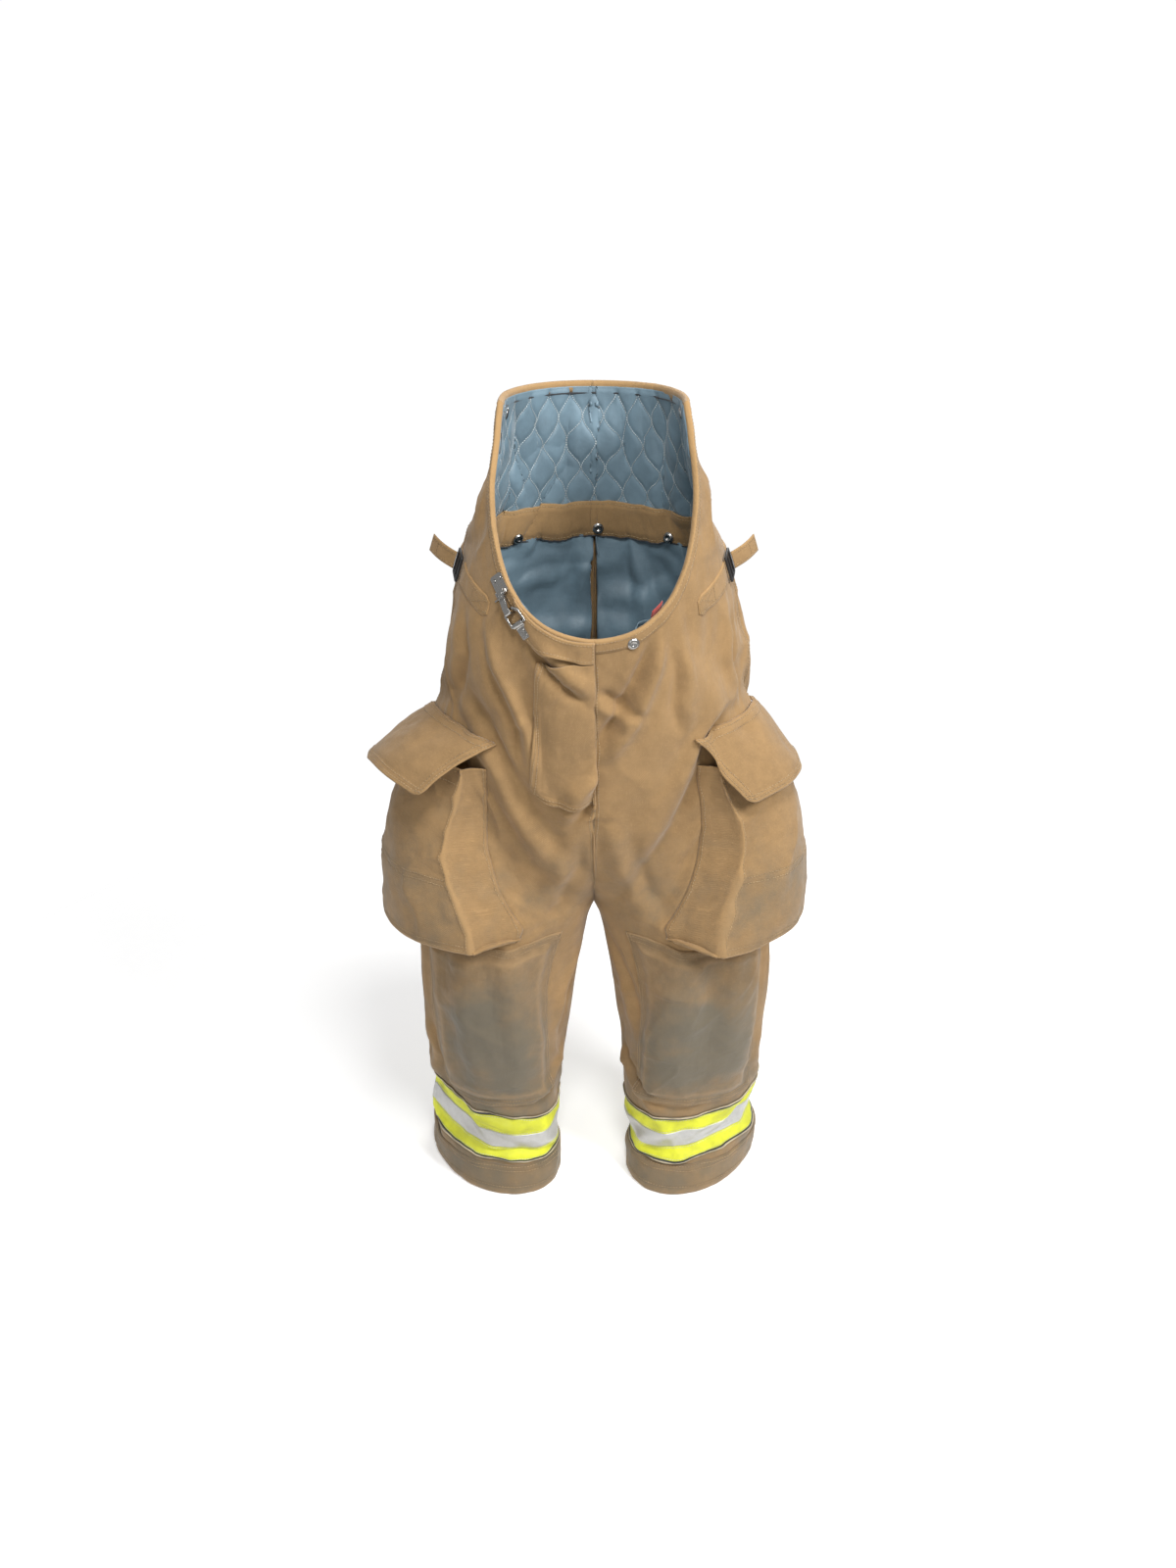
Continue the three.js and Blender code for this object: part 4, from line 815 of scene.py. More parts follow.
def build_groups():
    """The effects that several finishes share."""
    # Plain weave: two crossed waves, over where their product is positive and under where it is negative.
    nodes, start, end = new_group(
        "Plain Weave",
        [("Vector", "Vector"), ("Threads", "Float", 900.0), ("Slub", "Float", 0.5)],
        [("Height", "Float"), ("Fleck", "Float")],
    )
    across = nodes.add("ShaderNodeSeparateXYZ", {0: start["Vector"]}).outputs
    turns = nodes.math("MULTIPLY", start["Threads"], math.pi)
    warp = nodes.math("SINE", nodes.math("MULTIPLY", across["X"], turns))
    weft = nodes.math("SINE", nodes.math("MULTIPLY", across["Y"], turns))
    weave = nodes.math("MULTIPLY", warp, weft)
    long_way = nodes.noise(nodes.scaled(start["Vector"], (900, 140, 1)), 1.0, 2.0)
    cross_way = nodes.noise(nodes.scaled(start["Vector"], (150, 950, 1)), 1.0, 2.0)
    slub = nodes.math("MULTIPLY", nodes.math("ADD", long_way, cross_way), start["Slub"])
    tree = nodes.tree
    tree.links.new(nodes.math("ADD", nodes.math("MULTIPLY", weave, 0.35), slub), end["Height"])
    tree.links.new(nodes.ramp(nodes.math("MAXIMUM", long_way, cross_way), 0.55, 0.78), end["Fleck"])

    # Two colours in broad, soft patches, with finer ones inside them.
    nodes, start, end = new_group(
        "Mottling",
        [("Vector", "Vector"), ("Scale", "Float", 9.0), ("First", "Color"), ("Second", "Color")],
        [("Color", "Color")],
    )
    broad = nodes.noise(start["Vector"], start["Scale"], 4.0, 0.6)
    share = nodes.ramp(broad, 0.32, 0.7)
    nodes.tree.links.new(nodes.mix(share, start["First"], start["Second"]), end["Color"])

    # A painted mask broken up by noise, so that its edge is uneven.
    nodes, start, end = new_group(
        "Grime",
        [("Vector", "Vector"), ("Mask", "Float"), ("Scale", "Float", 30.0)],
        [("Mask", "Float")],
    )
    grain = nodes.noise(start["Vector"], start["Scale"], 5.0, 0.65)
    spread = nodes.math("ADD", start["Mask"], nodes.math("MULTIPLY", nodes.math("SUBTRACT", grain, 0.5), 0.7))
    broken = nodes.ramp(spread, 0.12, 0.85)
    nodes.tree.links.new(nodes.math("MULTIPLY", broken, nodes.ramp(start["Mask"], 0.0, 0.12)), end["Mask"])

    # Fine scratches: two stretched noises.
    nodes, start, end = new_group("Scratches", [("Vector", "Vector")], [("Mask", "Float")])
    one = nodes.noise(nodes.scaled(start["Vector"], (900, 120, 300)), 1.0, 3.0, 0.7)
    two = nodes.noise(nodes.scaled(start["Vector"], (160, 1100, 400)), 1.0, 3.0, 0.7)
    nodes.tree.links.new(nodes.ramp(nodes.math("MAXIMUM", one, two), 0.55, 0.8), end["Mask"])


def shade(*rgb):
    return (*rgb, 1.0)


def darker(colour, share):
    return shade(*(channel * share for channel in colour[:3]))


def principled(nodes, **inputs):
    names = {key.replace("_", " ").title().replace("Ior", "IOR"): value for key, value in inputs.items()}
    shader = nodes.add("ShaderNodeBsdfPrincipled", names)
    output = nodes.add("ShaderNodeOutputMaterial")
    nodes.tree.links.new(shader.outputs[0], output.inputs[0])


def duck_finish(nodes, colour, depth=0.00035, soil_share=0.85):
    """Duck canvas: a coarse plain weave with pale flecks, broad fading, soil, and paler worn edges."""
    uv, place = nodes.uv(), nodes.place()
    weave = nodes.group("Plain Weave", vector=uv, threads=850.0, slub=0.6)
    base = nodes.mottled(place, 7.0, colour, 0.84, 1.12)
    fine = nodes.mottled(place, 60.0, colour, 0.8, 1.15)
    ground = nodes.mix(0.35, base, fine)
    flecked = nodes.tinted(ground, weave["Fleck"], 0.38, darker(colour, 1.55))
    soil = nodes.grime(place, "soil", 26.0)
    soiled = nodes.tinted(flecked, soil, soil_share, shade(0.13, 0.118, 0.088))
    wear = nodes.grime(place, "wear", 120.0)
    worn = nodes.tinted(soiled, wear, 0.4, darker(colour, 1.45))
    crumple = nodes.noise(place, 95.0, 4.0, 0.6)
    height = nodes.math("ADD", weave["Height"], nodes.math("MULTIPLY", crumple, 2.2))
    bump = nodes.bump(height, depth, 0.9)
    principled(nodes, base_color=worn, roughness=0.88, sheen_weight=0.22, sheen_roughness=0.45,
               specular_ior_level=0.3, normal=bump)


def satin_finish(nodes, colour):
    """Liner cloth: a close, shiny weave whose colour shifts a little in broad patches."""
    uv, place = nodes.uv(), nodes.place()
    weave = nodes.group("Plain Weave", vector=uv, threads=1700.0, slub=0.4)
    base = nodes.mottled(place, 14.0, colour, 0.8, 1.15)
    flecked = nodes.tinted(base, weave["Fleck"], 0.25, darker(colour, 1.4))
    crumple = nodes.noise(place, 160.0, 3.0, 0.6)
    threads, puckers = nodes.math("MULTIPLY", weave["Height"], 0.4), nodes.math("MULTIPLY", crumple, 1.6)
    height = nodes.math("ADD", threads, puckers)
    bump = nodes.bump(height, 0.0003, 0.8)
    rough = nodes.math("ADD", nodes.math("MULTIPLY", crumple, 0.16), 0.4)
    principled(nodes, base_color=flecked, roughness=rough, sheen_weight=0.35, sheen_roughness=0.3,
               specular_ior_level=0.6, normal=bump)


def lime_finish(nodes, colour):
    """Fluorescent tape: a fine weave, and scuffs that show a duller, browner cloth."""
    uv, place = nodes.uv(), nodes.place()
    weave = nodes.group("Plain Weave", vector=uv, threads=1400.0, slub=0.4)
    base = nodes.mottled(place, 22.0, colour, 0.86, 1.08)
    scuff = nodes.grime(place, "soil", 70.0)
    scuffed = nodes.tinted(base, scuff, 0.4, shade(0.2, 0.21, 0.06))
    bump = nodes.bump(weave["Height"], 0.0002, 0.6)
    principled(nodes, base_color=scuffed, roughness=0.62, specular_ior_level=0.4, normal=bump)


def silver_finish(nodes, colour):
    """Retroreflective stripe: a bead-coated film with a fine ribbed grain, cracked and rubbed in places."""
    uv, place = nodes.uv(), nodes.place()
    weave = nodes.group("Plain Weave", vector=uv, threads=1100.0, slub=0.3)
    cracks = nodes.noise(nodes.scaled(uv, (260, 900, 1)), 1.0, 4.0, 0.7)
    rubbed = nodes.ramp(cracks, 0.52, 0.68)
    scuff = nodes.grime(place, "soil", 90.0)
    base = nodes.tinted(colour, rubbed, 0.35, darker(colour, 0.55))
    dull = nodes.tinted(base, scuff, 0.4, shade(0.24, 0.22, 0.19))
    rough = nodes.math("ADD", nodes.math("MULTIPLY", rubbed, 0.3), 0.34)
    bump = nodes.bump(weave["Height"], 0.00015, 0.6)
    principled(nodes, base_color=dull, roughness=rough, metallic=0.35, normal=bump)


def fuzz_finish(nodes, colour):
    """Hook-and-loop tape: a deep, broken nap."""
    place = nodes.place()
    nap = nodes.noise(place, 900.0, 2.0, 0.8)
    lint = nodes.ramp(nodes.noise(place, 420.0, 3.0, 0.7), 0.6, 0.72)
    base = nodes.tinted(colour, lint, 0.25, shade(0.12, 0.11, 0.1))
    bump = nodes.bump(nap, 0.0012, 1.0)
    principled(nodes, base_color=base, roughness=0.97, sheen_weight=0.4, sheen_roughness=0.6, normal=bump)


def nickel_finish(nodes, colour):
    """Nickel plate: polished, with scratches that are rougher and a brown film in the hollows."""
    place = nodes.place()
    scratch = nodes.group("Scratches", vector=place)["Mask"]
    film = nodes.ramp(nodes.noise(place, 130.0, 4.0, 0.7), 0.5, 0.8)
    base = nodes.tinted(colour, film, 0.35, shade(0.3, 0.26, 0.2))
    rough = nodes.math("ADD", nodes.math("MULTIPLY", scratch, 0.28), 0.2)
    rougher = nodes.math("ADD", rough, nodes.math("MULTIPLY", film, 0.15))
    bump = nodes.bump(scratch, 0.00006, 0.5)
    principled(nodes, base_color=base, roughness=rougher, metallic=1.0, normal=bump)


def moulded_finish(nodes, colour):
    """Moulded plastic: satin, with a fine spark-eroded grain and pale rub marks."""
    place = nodes.place()
    grain = nodes.noise(place, 1500.0, 2.0, 0.6)
    rub = nodes.group("Scratches", vector=place)["Mask"]
    base = nodes.tinted(colour, rub, 0.3, shade(0.1, 0.1, 0.1))
    rough = nodes.math("ADD", nodes.math("MULTIPLY", grain, 0.15), 0.36)
    bump = nodes.bump(grain, 0.00008, 0.5)
    principled(nodes, base_color=base, roughness=rough, normal=bump)


def thread_finish(nodes, colour):
    """Sewing thread: a fine twist, with dirt between the turns."""
    place = nodes.place()
    twist = nodes.noise(place, 1800.0, 2.0, 0.5)
    base = nodes.mottled(place, 45.0, colour, 0.6, 1.15)
    bump = nodes.bump(twist, 0.0002, 0.6)
    principled(nodes, base_color=base, roughness=0.7, sheen_weight=0.3, normal=bump)


def webbing_finish(nodes, colour):
    """Narrow woven tape: crossed ribs."""
    uv = nodes.uv()
    weave = nodes.group("Plain Weave", vector=uv, threads=620.0, slub=0.4)
    base = nodes.mix(weave["Fleck"], darker(colour, 0.8), darker(colour, 1.25))
    bump = nodes.bump(weave["Height"], 0.0005, 0.9)
    principled(nodes, base_color=base, roughness=0.8, sheen_weight=0.3, normal=bump)


# The record's slots, and the finishes that are part of a slot: their maker and the colour property they take.
FINISHES = {
    "shell_canvas": (duck_finish, "canvas"),
    "knee_canvas": (duck_finish, "patch"),
    "quilted_lining": (satin_finish, "lining"),
    "lime_trim": (lime_finish, "lime"),
    "silver_trim": (silver_finish, "silver"),
    "hook_and_loop": (fuzz_finish, "fastener"),
    "nickel_hardware": (nickel_finish, "nickel"),
    "black_plastic": (moulded_finish, "plastic"),
    "red_webbing": (webbing_finish, "red"),
    "tan_thread": (thread_finish, "tan_thread"),
    "pale_thread": (thread_finish, "pale_thread"),
    "dark_piping": (thread_finish, "piping"),
    "pale_piping": (thread_finish, "pale_piping"),
}


def material(finish):
    """The finish's material, made at its first use."""
    name = f"{finish}_finish"
    if name not in bpy.data.materials:
        made = bpy.data.materials.new(name)
        made.use_nodes = True
        made.node_tree.nodes.clear()
        maker, colour = FINISHES[finish]
        maker(Nodes(made.node_tree), shade(*getattr(bpy.context.scene.pants_colours, colour)))
    return bpy.data.materials[name]


# ---- Shell ----


def panel_grid(side, start, end, bottom=2.0, top_inset=0.5):
    """The face's own grid between two angles, as angles, heights, points and normals."""
    face = outer_face()
    columns = (face.phi >= start - 1e-6) & (face.phi <= end + 1e-6)
    phi = np.repeat(face.phi[columns][:, None], len(face.share), axis=1)
    heights = bottom + face.share[None] * (rim(phi[:, :1]) - top_inset - bottom)
    points, normals = face.at(side, phi, heights, 0.0)
    return phi, heights, points, normals


def edge_wear(distance, reach=5.0):
    return np.exp(-np.abs(distance) / reach)


def build_shell():
    for side in SIDES:
        for name, start, end in (("front", 0.0, 90.0), ("back", -90.0, 0.0)):
            phi, heights, points, normals = panel_grid(side, start, end)
            wear = np.maximum(edge_wear((90 - np.abs(phi)) * DEGREE), edge_wear(phi * DEGREE, 4.0)) * 0.5
            wear = np.maximum(wear, edge_wear(rim(phi) - heights) * 0.9)
            panel = cloth_piece(
                f"shell_panel_{name}_{side}", points, normals, "shell_canvas", SHELL,
                uv=cloth_uv(phi, heights), values=cloth_values(side, phi, heights, wear),
            )
            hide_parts(f"shell_{name}_{side}")
            declare_sheet(points)
    build_seam_stitches()


def line_on(side, phi, z, lift):
    face = outer_face()
    return face.at(side, phi, z, lift)


def level(start, end, step):
    return np.linspace(start, end, max(3, int(abs(end - start) / step)))


def build_seam_stitches():
    """Double rows of thread beside the side seams, the inseams, the centre front and the centre back."""
    lines = []
    for side in SIDES:
        for phi in (1.0, 3.0):
            z = level(46, float(rim(phi)) - 20, 6)
            lines.append(line_on(side, np.full_like(z, phi), z, 0.35))
        for phi in (-87.6, -88.9):
            z = level(46, BACK_RIM - 24, 6)
            lines.append(line_on(side, np.full_like(z, phi), z, 0.35))
        for phi in (87.6, 88.9):
            z = level(46, FRONT_RIM - 34, 6)
            lines.append(line_on(side, np.full_like(z, phi), z, 0.35))
    stitches("seam_stitching", lines, "tan_thread")


# ---- Top edge ----


def profile_ring(psi, profile):
    """A profile of (distance below the top edge, distance off the face) pairs carried round the top edge. A
    place above the edge is reached by going straight up."""
    face = outer_face()
    below, lift = np.array(profile, float).T
    phi = np.where(((psi + 90) % 360 - 90) <= 90, (psi + 90) % 360 - 90, 180 - ((psi + 90) % 360 - 90))
    top = rim(phi)[:, None]
    points, normals = face.round(psi[:, None], top - np.maximum(below, 0.5)[None], lift[None])
    points[..., 2] += np.maximum(0.5 - below, 0)[None]
    return points, normals


def build_binding():
    psi = np.linspace(-90, 270, 480, endpoint=False)
    profile = [(17, 0.4), (16.4, 1.1), (12, 1.25), (5, 1.3), (1.5, 1.7), (-0.3, 0.9), (-1.2, -1.0),
               (-1.1, -3.2), (0.2, -5.2), (2.5, -6.2), (8, -6.9), (13, -7.2)]
    points, _ = profile_ring(psi, profile)
    middle = points.mean(1, keepdims=True)
    outward = points - middle
    z = points[..., 2]
    phi = np.repeat(psi[:, None], len(profile), axis=1)
    wear = np.repeat(np.exp(-((np.array([p[0] for p in profile]) / 3.0) ** 2))[None], len(psi), axis=0)
    values = {"soil": 0.08 + 0.1 * noise(phi / 8, z / 40, 7) ** 2, "wear": wear}
    binding = cloth_piece("top_binding", points, outward, "shell_canvas", 0, uv=cloth_uv(phi, z),
                          values=values, closed=True)
    wall = binding.modifiers.new("Cloth thickness", "SOLIDIFY")
    wall.thickness, wall.offset = 0.7 * MM, -1
    lines = []
    for below in (13.6, 3.6):
        line, normals = profile_ring(np.append(psi, psi[0] + 360), [(below, 1.35 if below > 10 else 1.6)])
        lines.append((line[:, 0], normals[:, 0]))
    stitches("top_binding_stitching", lines, "tan_thread")
    # A dark cord lies inside the high back, just under its edge.
    inside = np.linspace(-197, 17, 240)
    line, normals = profile_ring(inside, [(13.5, -7.9)])
    tube("high_back_piping", line[:, 0], normals[:, 0], 1.25, "dark_piping")


def band_swell(phi):
    return np.maximum(0, sine((phi - 57) / 33 * 180)) ** 0.7


def build_waistband():
    """The overlap on the right front touches the shell at both ends and stands off it between them."""
    phi = np.linspace(57, 89.4, 60)[:, None]
    t = np.linspace(0, 1, 16)[None]
    z = rim(phi) - 30 + 29 * t
    lift = 1.6 + 1.8 + 4.5 * band_swell(phi) * (0.75 + 0.4 * t) + 0.5 * noise(phi / 4, t * 3, 21)
    points, normals = outer_face().at("right", *np.broadcast_arrays(phi, z), lift)
    phi, z = np.broadcast_arrays(phi, z)
    wear = np.maximum(edge_wear(t * 29), edge_wear((1 - t) * 29)) + 0 * phi
    band = cloth_piece("waistband_lap", points, normals, "shell_canvas", 2.2, uv=cloth_uv(phi, z),
                       values=cloth_values("right", phi, z, wear))
    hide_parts("waistband_overlap")
    declare_sheet(points)
    lines = []
    for k in (2, 13):
        lines.append(seam_row(points, normals, np.s_[:, k], 0.2))
    for k in (2, 57):
        lines.append(seam_row(points, normals, k, 0.2))
    stitches("waistband_lap_stitching", lines, "tan_thread")
    # The shield lies inside the left front.
    phi, z = np.broadcast_arrays(np.linspace(68, 89.4, 34)[:, None], 0.0)
    t = np.linspace(0, 1, 50)[None]
    z = 700 + (rim(phi) - 3 - 700) * t
    phi = phi + 0 * t
    points, normals = outer_face().at("left", phi, z, -8.6 - 0.5 * noise(phi / 5, z / 30, 23))
    shield = cloth_piece("fly_shield_cloth", points, -normals, "shell_canvas", 1.6, uv=cloth_uv(phi, z),
                         values=cloth_values("left", phi, z))
    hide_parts("fly_shield")
    declare_sheet(points)


# ---- Liner, lining and facing ----

LINER_OUT = -(SHELL + 1.3)
LINER_IN = LINER_OUT - 2.6


def liner_fold(phi, z, seed):
    """How far the liner hangs in from the shell: drawn-out noise makes upright folds that fade at its top
    edge."""
    u = phi * DEGREE
    folds = np.maximum(0, noise(u / 30 + 0.2 * z / 30, z / 110, seed, 2)) * 20
    folds += np.maximum(0, noise(u / 80, z / 45, seed + 4, 2)) * 12
    return folds * ease(0, 40, LINER_TOP - z) + 0.6


LINER_TOP = 960.0


def build_liner():
    for side in SIDES:
        phi = np.linspace(-89.4, 89.4, 130)[:, None]
        t = np.linspace(0, 1, 190)[None]
        top = np.minimum(rim(phi) - 11, LINER_TOP)
        z = 62 + (top - 62) * t
        phi = phi + 0 * t
        closing = ease(60, 84, np.abs(phi)) * ease(560, 470, z)
        depth = liner_fold(phi, z, 61 if side == "left" else 67) * (1 - 0.7 * closing)
        groove = 1.5 * np.exp(-(((90 - np.abs(phi)) * DEGREE / 4) ** 2))
        points, normals = outer_face().at(side, phi, z, LINER_IN - depth + groove)
        # Near the crotch it keeps clear of the shell: each row is drawn towards its own middle.
        drawn = ease(45, 84, np.abs(phi)) * ease(880, 800, z)
        pull = (points.mean(0, keepdims=True) - points) * (0.15 * drawn)[..., None]
        pull[..., 0] *= ease(INSEAM + 25, INSEAM - 15, z)
        points += pull
        aside = ease(INSEAM - 40, INSEAM, z) * np.maximum(0.8 - points[..., 0] * SIDES[side], 0)
        points[..., 0] += SIDES[side] * aside
        piece = cloth_piece(f"liner_cloth_{side}", points, -normals, "quilted_lining", 1.6,
                            uv=cloth_uv(phi, z), values={"soil": 0 * z, "wear": 0 * z})
        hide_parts(f"liner_{side}")
        declare_sheet(points)


QUILT_PITCH = 22.0
QUILT_ROW = 33.0


def quilt_line(k, z):
    """The sideways place of one line of quilting: neighbouring lines swing to meet and part at every row."""
    return QUILT_PITCH * (k + 0.5) + (-1.0) ** k * (QUILT_PITCH / 2 - 0.6) * np.cos(np.pi * z / QUILT_ROW)


def build_bib_lining():
    """The quilted lining inside the high back: padding rises between lines of stitching that swing in onion
    shapes."""
    face = outer_face()
    psi = np.linspace(-198, 18, 300)[:, None]
    t = np.linspace(0, 1, 110)[None]
    phi = np.where(psi < -90, -180 - psi, psi)
    z = 968 + (rim(phi) - 5 - 968) * t
    psi = psi + 0 * t
    across = (psi + 90) * 2.85
    lines = np.arange(-16, 16)
    place = quilt_line(lines[:, None, None], z[None] - 968)
    distance = np.abs(place - across[None]).min(0)
    edge = np.minimum(t * 180, (1 - t) * 180) + 0 * psi
    rise = 1.8 * (1 - np.exp(-((distance / 4.2) ** 1.5))) * ease(0, 8, edge)
    broad = 1.8 * noise(across / 60, z / 70, 83, 2)
    points, normals = face.round(psi, z, -(5.2 + 2.0 + rise + np.maximum(broad, -1.5)))
    piece = cloth_piece("bib_quilting", points, -normals, "quilted_lining", 2.2,
                        uv=np.stack([across, z], -1), values={"soil": 0 * z, "wear": 0 * z})
    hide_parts("bib_lining")
    rows = []
    for k in lines:
        height = np.arange(970.0, 1146.0, 1.6)
        turn = quilt_line(k, height - 968) / 2.85 - 90
        own = np.where(turn < -90, -180 - turn, turn)
        keep = (height < rim(own) - 14) & (turn > -197) & (turn < 17)
        if keep.sum() > 6:
            line, out = face.round(turn[keep], height[keep], -(5.2 + 2.6 + np.maximum(1.8 * noise(
                quilt_line(k, height[keep] - 968) / 60, height[keep] / 70, 83, 2), -1.5)))
            rows.append((line, -out))
    stitches("bib_quilting_stitches", rows, "pale_thread", pitch=3.2, length=2.7, width=1.0)


def build_facing():
    """The facing is a band of canvas inside the back. Its lower edge is drawn up unevenly where it is sewn.
    A dark cord along that edge is a painted shadow: the shade that the edge casts on the liner."""
    psi = np.linspace(-189, 9, 300)[:, None]
    t = np.linspace(0, 1, 26)[None]
    wave = 3.5 * noise(psi / 7, 0.3, 91, 2) + 5.0 * np.exp(-(((psi + 50) / 5) ** 2))
    bottom = 938 + wave
    z = bottom + (988 - bottom) * t
    psi = psi + 0 * t
    pucker = 1.2 * noise(psi / 1.6, z / 26, 93, 2) * (1 - t) + 1.2 * noise(psi / 9, z / 30, 95)
    lift = -(10.6 + 2.2 * ease(0.0, 0.25, t) * ease(1.0, 0.8, t) + pucker)
    points, normals = outer_face().round(psi, z, lift)
    values = {"soil": 0.1 + 0 * z, "wear": 0.5 * (edge_wear(t * 48) + edge_wear((1 - t) * 48)) + 0 * psi}
    band = cloth_piece("bib_facing_band", points, -normals, "shell_canvas", 1.6, uv=cloth_uv(psi, z),
                       values=values)
    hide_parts("bib_facing")
    declare_sheet(points)
    lines = [seam_row(points, -normals, np.s_[:, k]) for k in (2, 23)]
    stitches("bib_facing_stitching", lines, "tan_thread")
    # A dark cord along the facing's lower edge is a painted shadow: it stands for the shade that the wavy
    # edge casts on the liner.
    tube("bib_facing_edge_painted_shadow", points[:, 0] - normals[:, 0] * 0.2, -normals[:, 0], 1.0, "dark_piping")
    # The liner's red tab stands up over the left front edge.
    phi = np.linspace(61, 66, 10)[:, None]
    t = np.linspace(0, 1, 24)[None]
    z = rim(phi) - 26 + 33 * t
    phi = phi + 0 * t
    face = outer_face()
    points, normals = face.at("left", phi, np.minimum(z, rim(phi) - 1), -(9.8 - 3 * ease(0.7, 1, t)))
    points[..., 2] += np.maximum(z - (rim(phi) - 1), 0)
    tab = cloth_piece("liner_pull_tab", points, -normals, "red_webbing", 1.4, uv=cloth_uv(phi, z))
    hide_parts("liner_tab")
    declare_sheet(points)


# ---- Knees, trim and cuffs ----


def sewn_edge(distance, thick):
    """Height of a patch by the distance from its edge: it rises steeply, and two rows of stitching press it
    down."""
    rise = thick * (1 - np.exp(-((np.maximum(distance, 0) / 1.6) ** 2)))
    return rise + seam_groove(distance - 5, 1.5, 0.5) + seam_groove(distance - 12, 1.5, 0.5)


def build_knees():
    for side in SIDES:
        start, end, low, high = 13.0, 69.0, 156.0, 436.0
        phi = np.linspace(start, end, 90)[:, None]
        t = np.linspace(0, 1, 120)[None]
        slope = 6 * (phi - 41) / 28
        z = low + slope * 0.5 + (high - low) * t
        phi = phi + 0 * t
        edge = np.minimum(np.minimum(phi - start, end - phi) * DEGREE, np.minimum(t, 1 - t) * (high - low))
        pad = 3.6 * ease(12, 26, edge)
        seed = 101 if side == "left" else 103
        crease = (1 - np.abs(noise(phi * DEGREE / 60 + z / 90, z / 55, seed + 7))) ** 5
        crumple = (1.9 * noise(phi * DEGREE / 34, z / 26, seed, 3) + 2.2 * crease) * ease(4, 20, edge)
        lift = 0.6 + sewn_edge(edge, 1.9) + pad + crumple
        points, normals = outer_face().at(side, phi, z, lift)
        values = cloth_values(side, phi, z, np.maximum(edge_wear(edge, 3), 0.8 * edge_wear(edge - 22, 6)))
        patch = cloth_piece(f"knee_reinforcement_{side}", points, normals, "knee_canvas", 1.7,
                            uv=cloth_uv(phi, z), values=values)
        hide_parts(f"knee_patch_{side}", f"knee_pad_{side}")
        rows = []
        for column, row in ((1, 2), (3, 5)):
            for index in (np.s_[column], np.s_[-1 - column], np.s_[:, row], np.s_[:, -1 - row]):
                rows.append(seam_row(points, normals, index, 0.25))
        stitches(f"knee_stitching_{side}", rows, "tan_thread")


def trim_height(phi):
    """The trim's centre line tilts: it runs highest at the outside, towards the back."""
    return 98 + 10 * cosine(2 * phi + 30)


def leg_band(side, low, high, lift, columns=240, rows=12):
    """A band round the leg between two distances from the trim's centre line."""
    phi = np.linspace(-90, 90, columns, endpoint=False)[:, None]
    t = np.linspace(0, 1, rows)[None]
    phi = phi + 0 * t
    offset = low + (high - low) * t + 0 * phi
    z = trim_height(phi) + offset
    edge = np.minimum(t, 1 - t) * (high - low) + 0 * phi
    points, normals = outer_face().at(side, phi, z, lift(phi, z, edge))
    return phi, z, points, normals


def build_trim():
    for side in SIDES:
        seed = 111 if side == "left" else 113
        ripple = lambda phi, z: 0.7 * noise(phi * DEGREE / 18, z / 16, seed, 3)
        base = lambda phi, z, edge: 0.9 + 1.0 * ease(0, 1.5, edge) + ripple(phi, z)
        phi, z, points, normals = leg_band(side, -40, 40, base, rows=34)
        tape = cloth_piece(f"lime_tape_{side}", points, normals, "lime_trim", 1.0, uv=cloth_uv(phi, z),
                           values=cloth_values(side, phi, z), closed=True)
        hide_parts(f"trim_tape_{side}")
        raised = lambda phi, z, edge: 1.9 + 0.75 * ease(0, 1.5, edge) + ripple(phi, z)
        phi, z, points, normals = leg_band(side, -14, 14, raised, rows=16)
        stripe = cloth_piece(f"silver_stripe_{side}", points, normals, "silver_trim", 0.8,
                             uv=cloth_uv(phi, z), values=cloth_values(side, phi, z), closed=True)
        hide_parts(f"trim_stripe_{side}")
        rows = []
        edge_lift = lambda phi, z, edge: 2.0 + 0.8 * ease(0, 1.2, edge) + ripple(phi, z)
        for where, low, wide, finish in (
            ("upper_cord", 38.6, 2.8, "dark_piping"),
            ("lower_cord", -41.4, 2.8, "dark_piping"),
            ("upper_edge", 41.0, 2.6, "pale_piping"),
            ("lower_edge", -43.6, 2.6, "pale_piping"),
        ):
            _, _, points, normals = leg_band(side, low, low + wide, edge_lift, rows=5)
            cloth_piece(f"trim_{where}_{side}", points, normals, finish, 1.4, closed=True)
        seam_lift = lambda phi, z, edge: 2.2 + ripple(phi, z)
        for offset in (-37, -16.5, 16.5, 37):
            _, _, points, normals = leg_band(side, offset - 1, offset + 1, seam_lift, rows=3)
            line = np.concatenate([points[:, 1], points[:1, 1]])
            rows.append((line, np.concatenate([normals[:, 1], normals[:1, 1]])))
        stitches(f"trim_stitching_{side}", rows, "pale_thread", pitch=4.0, length=3.0, width=0.7)


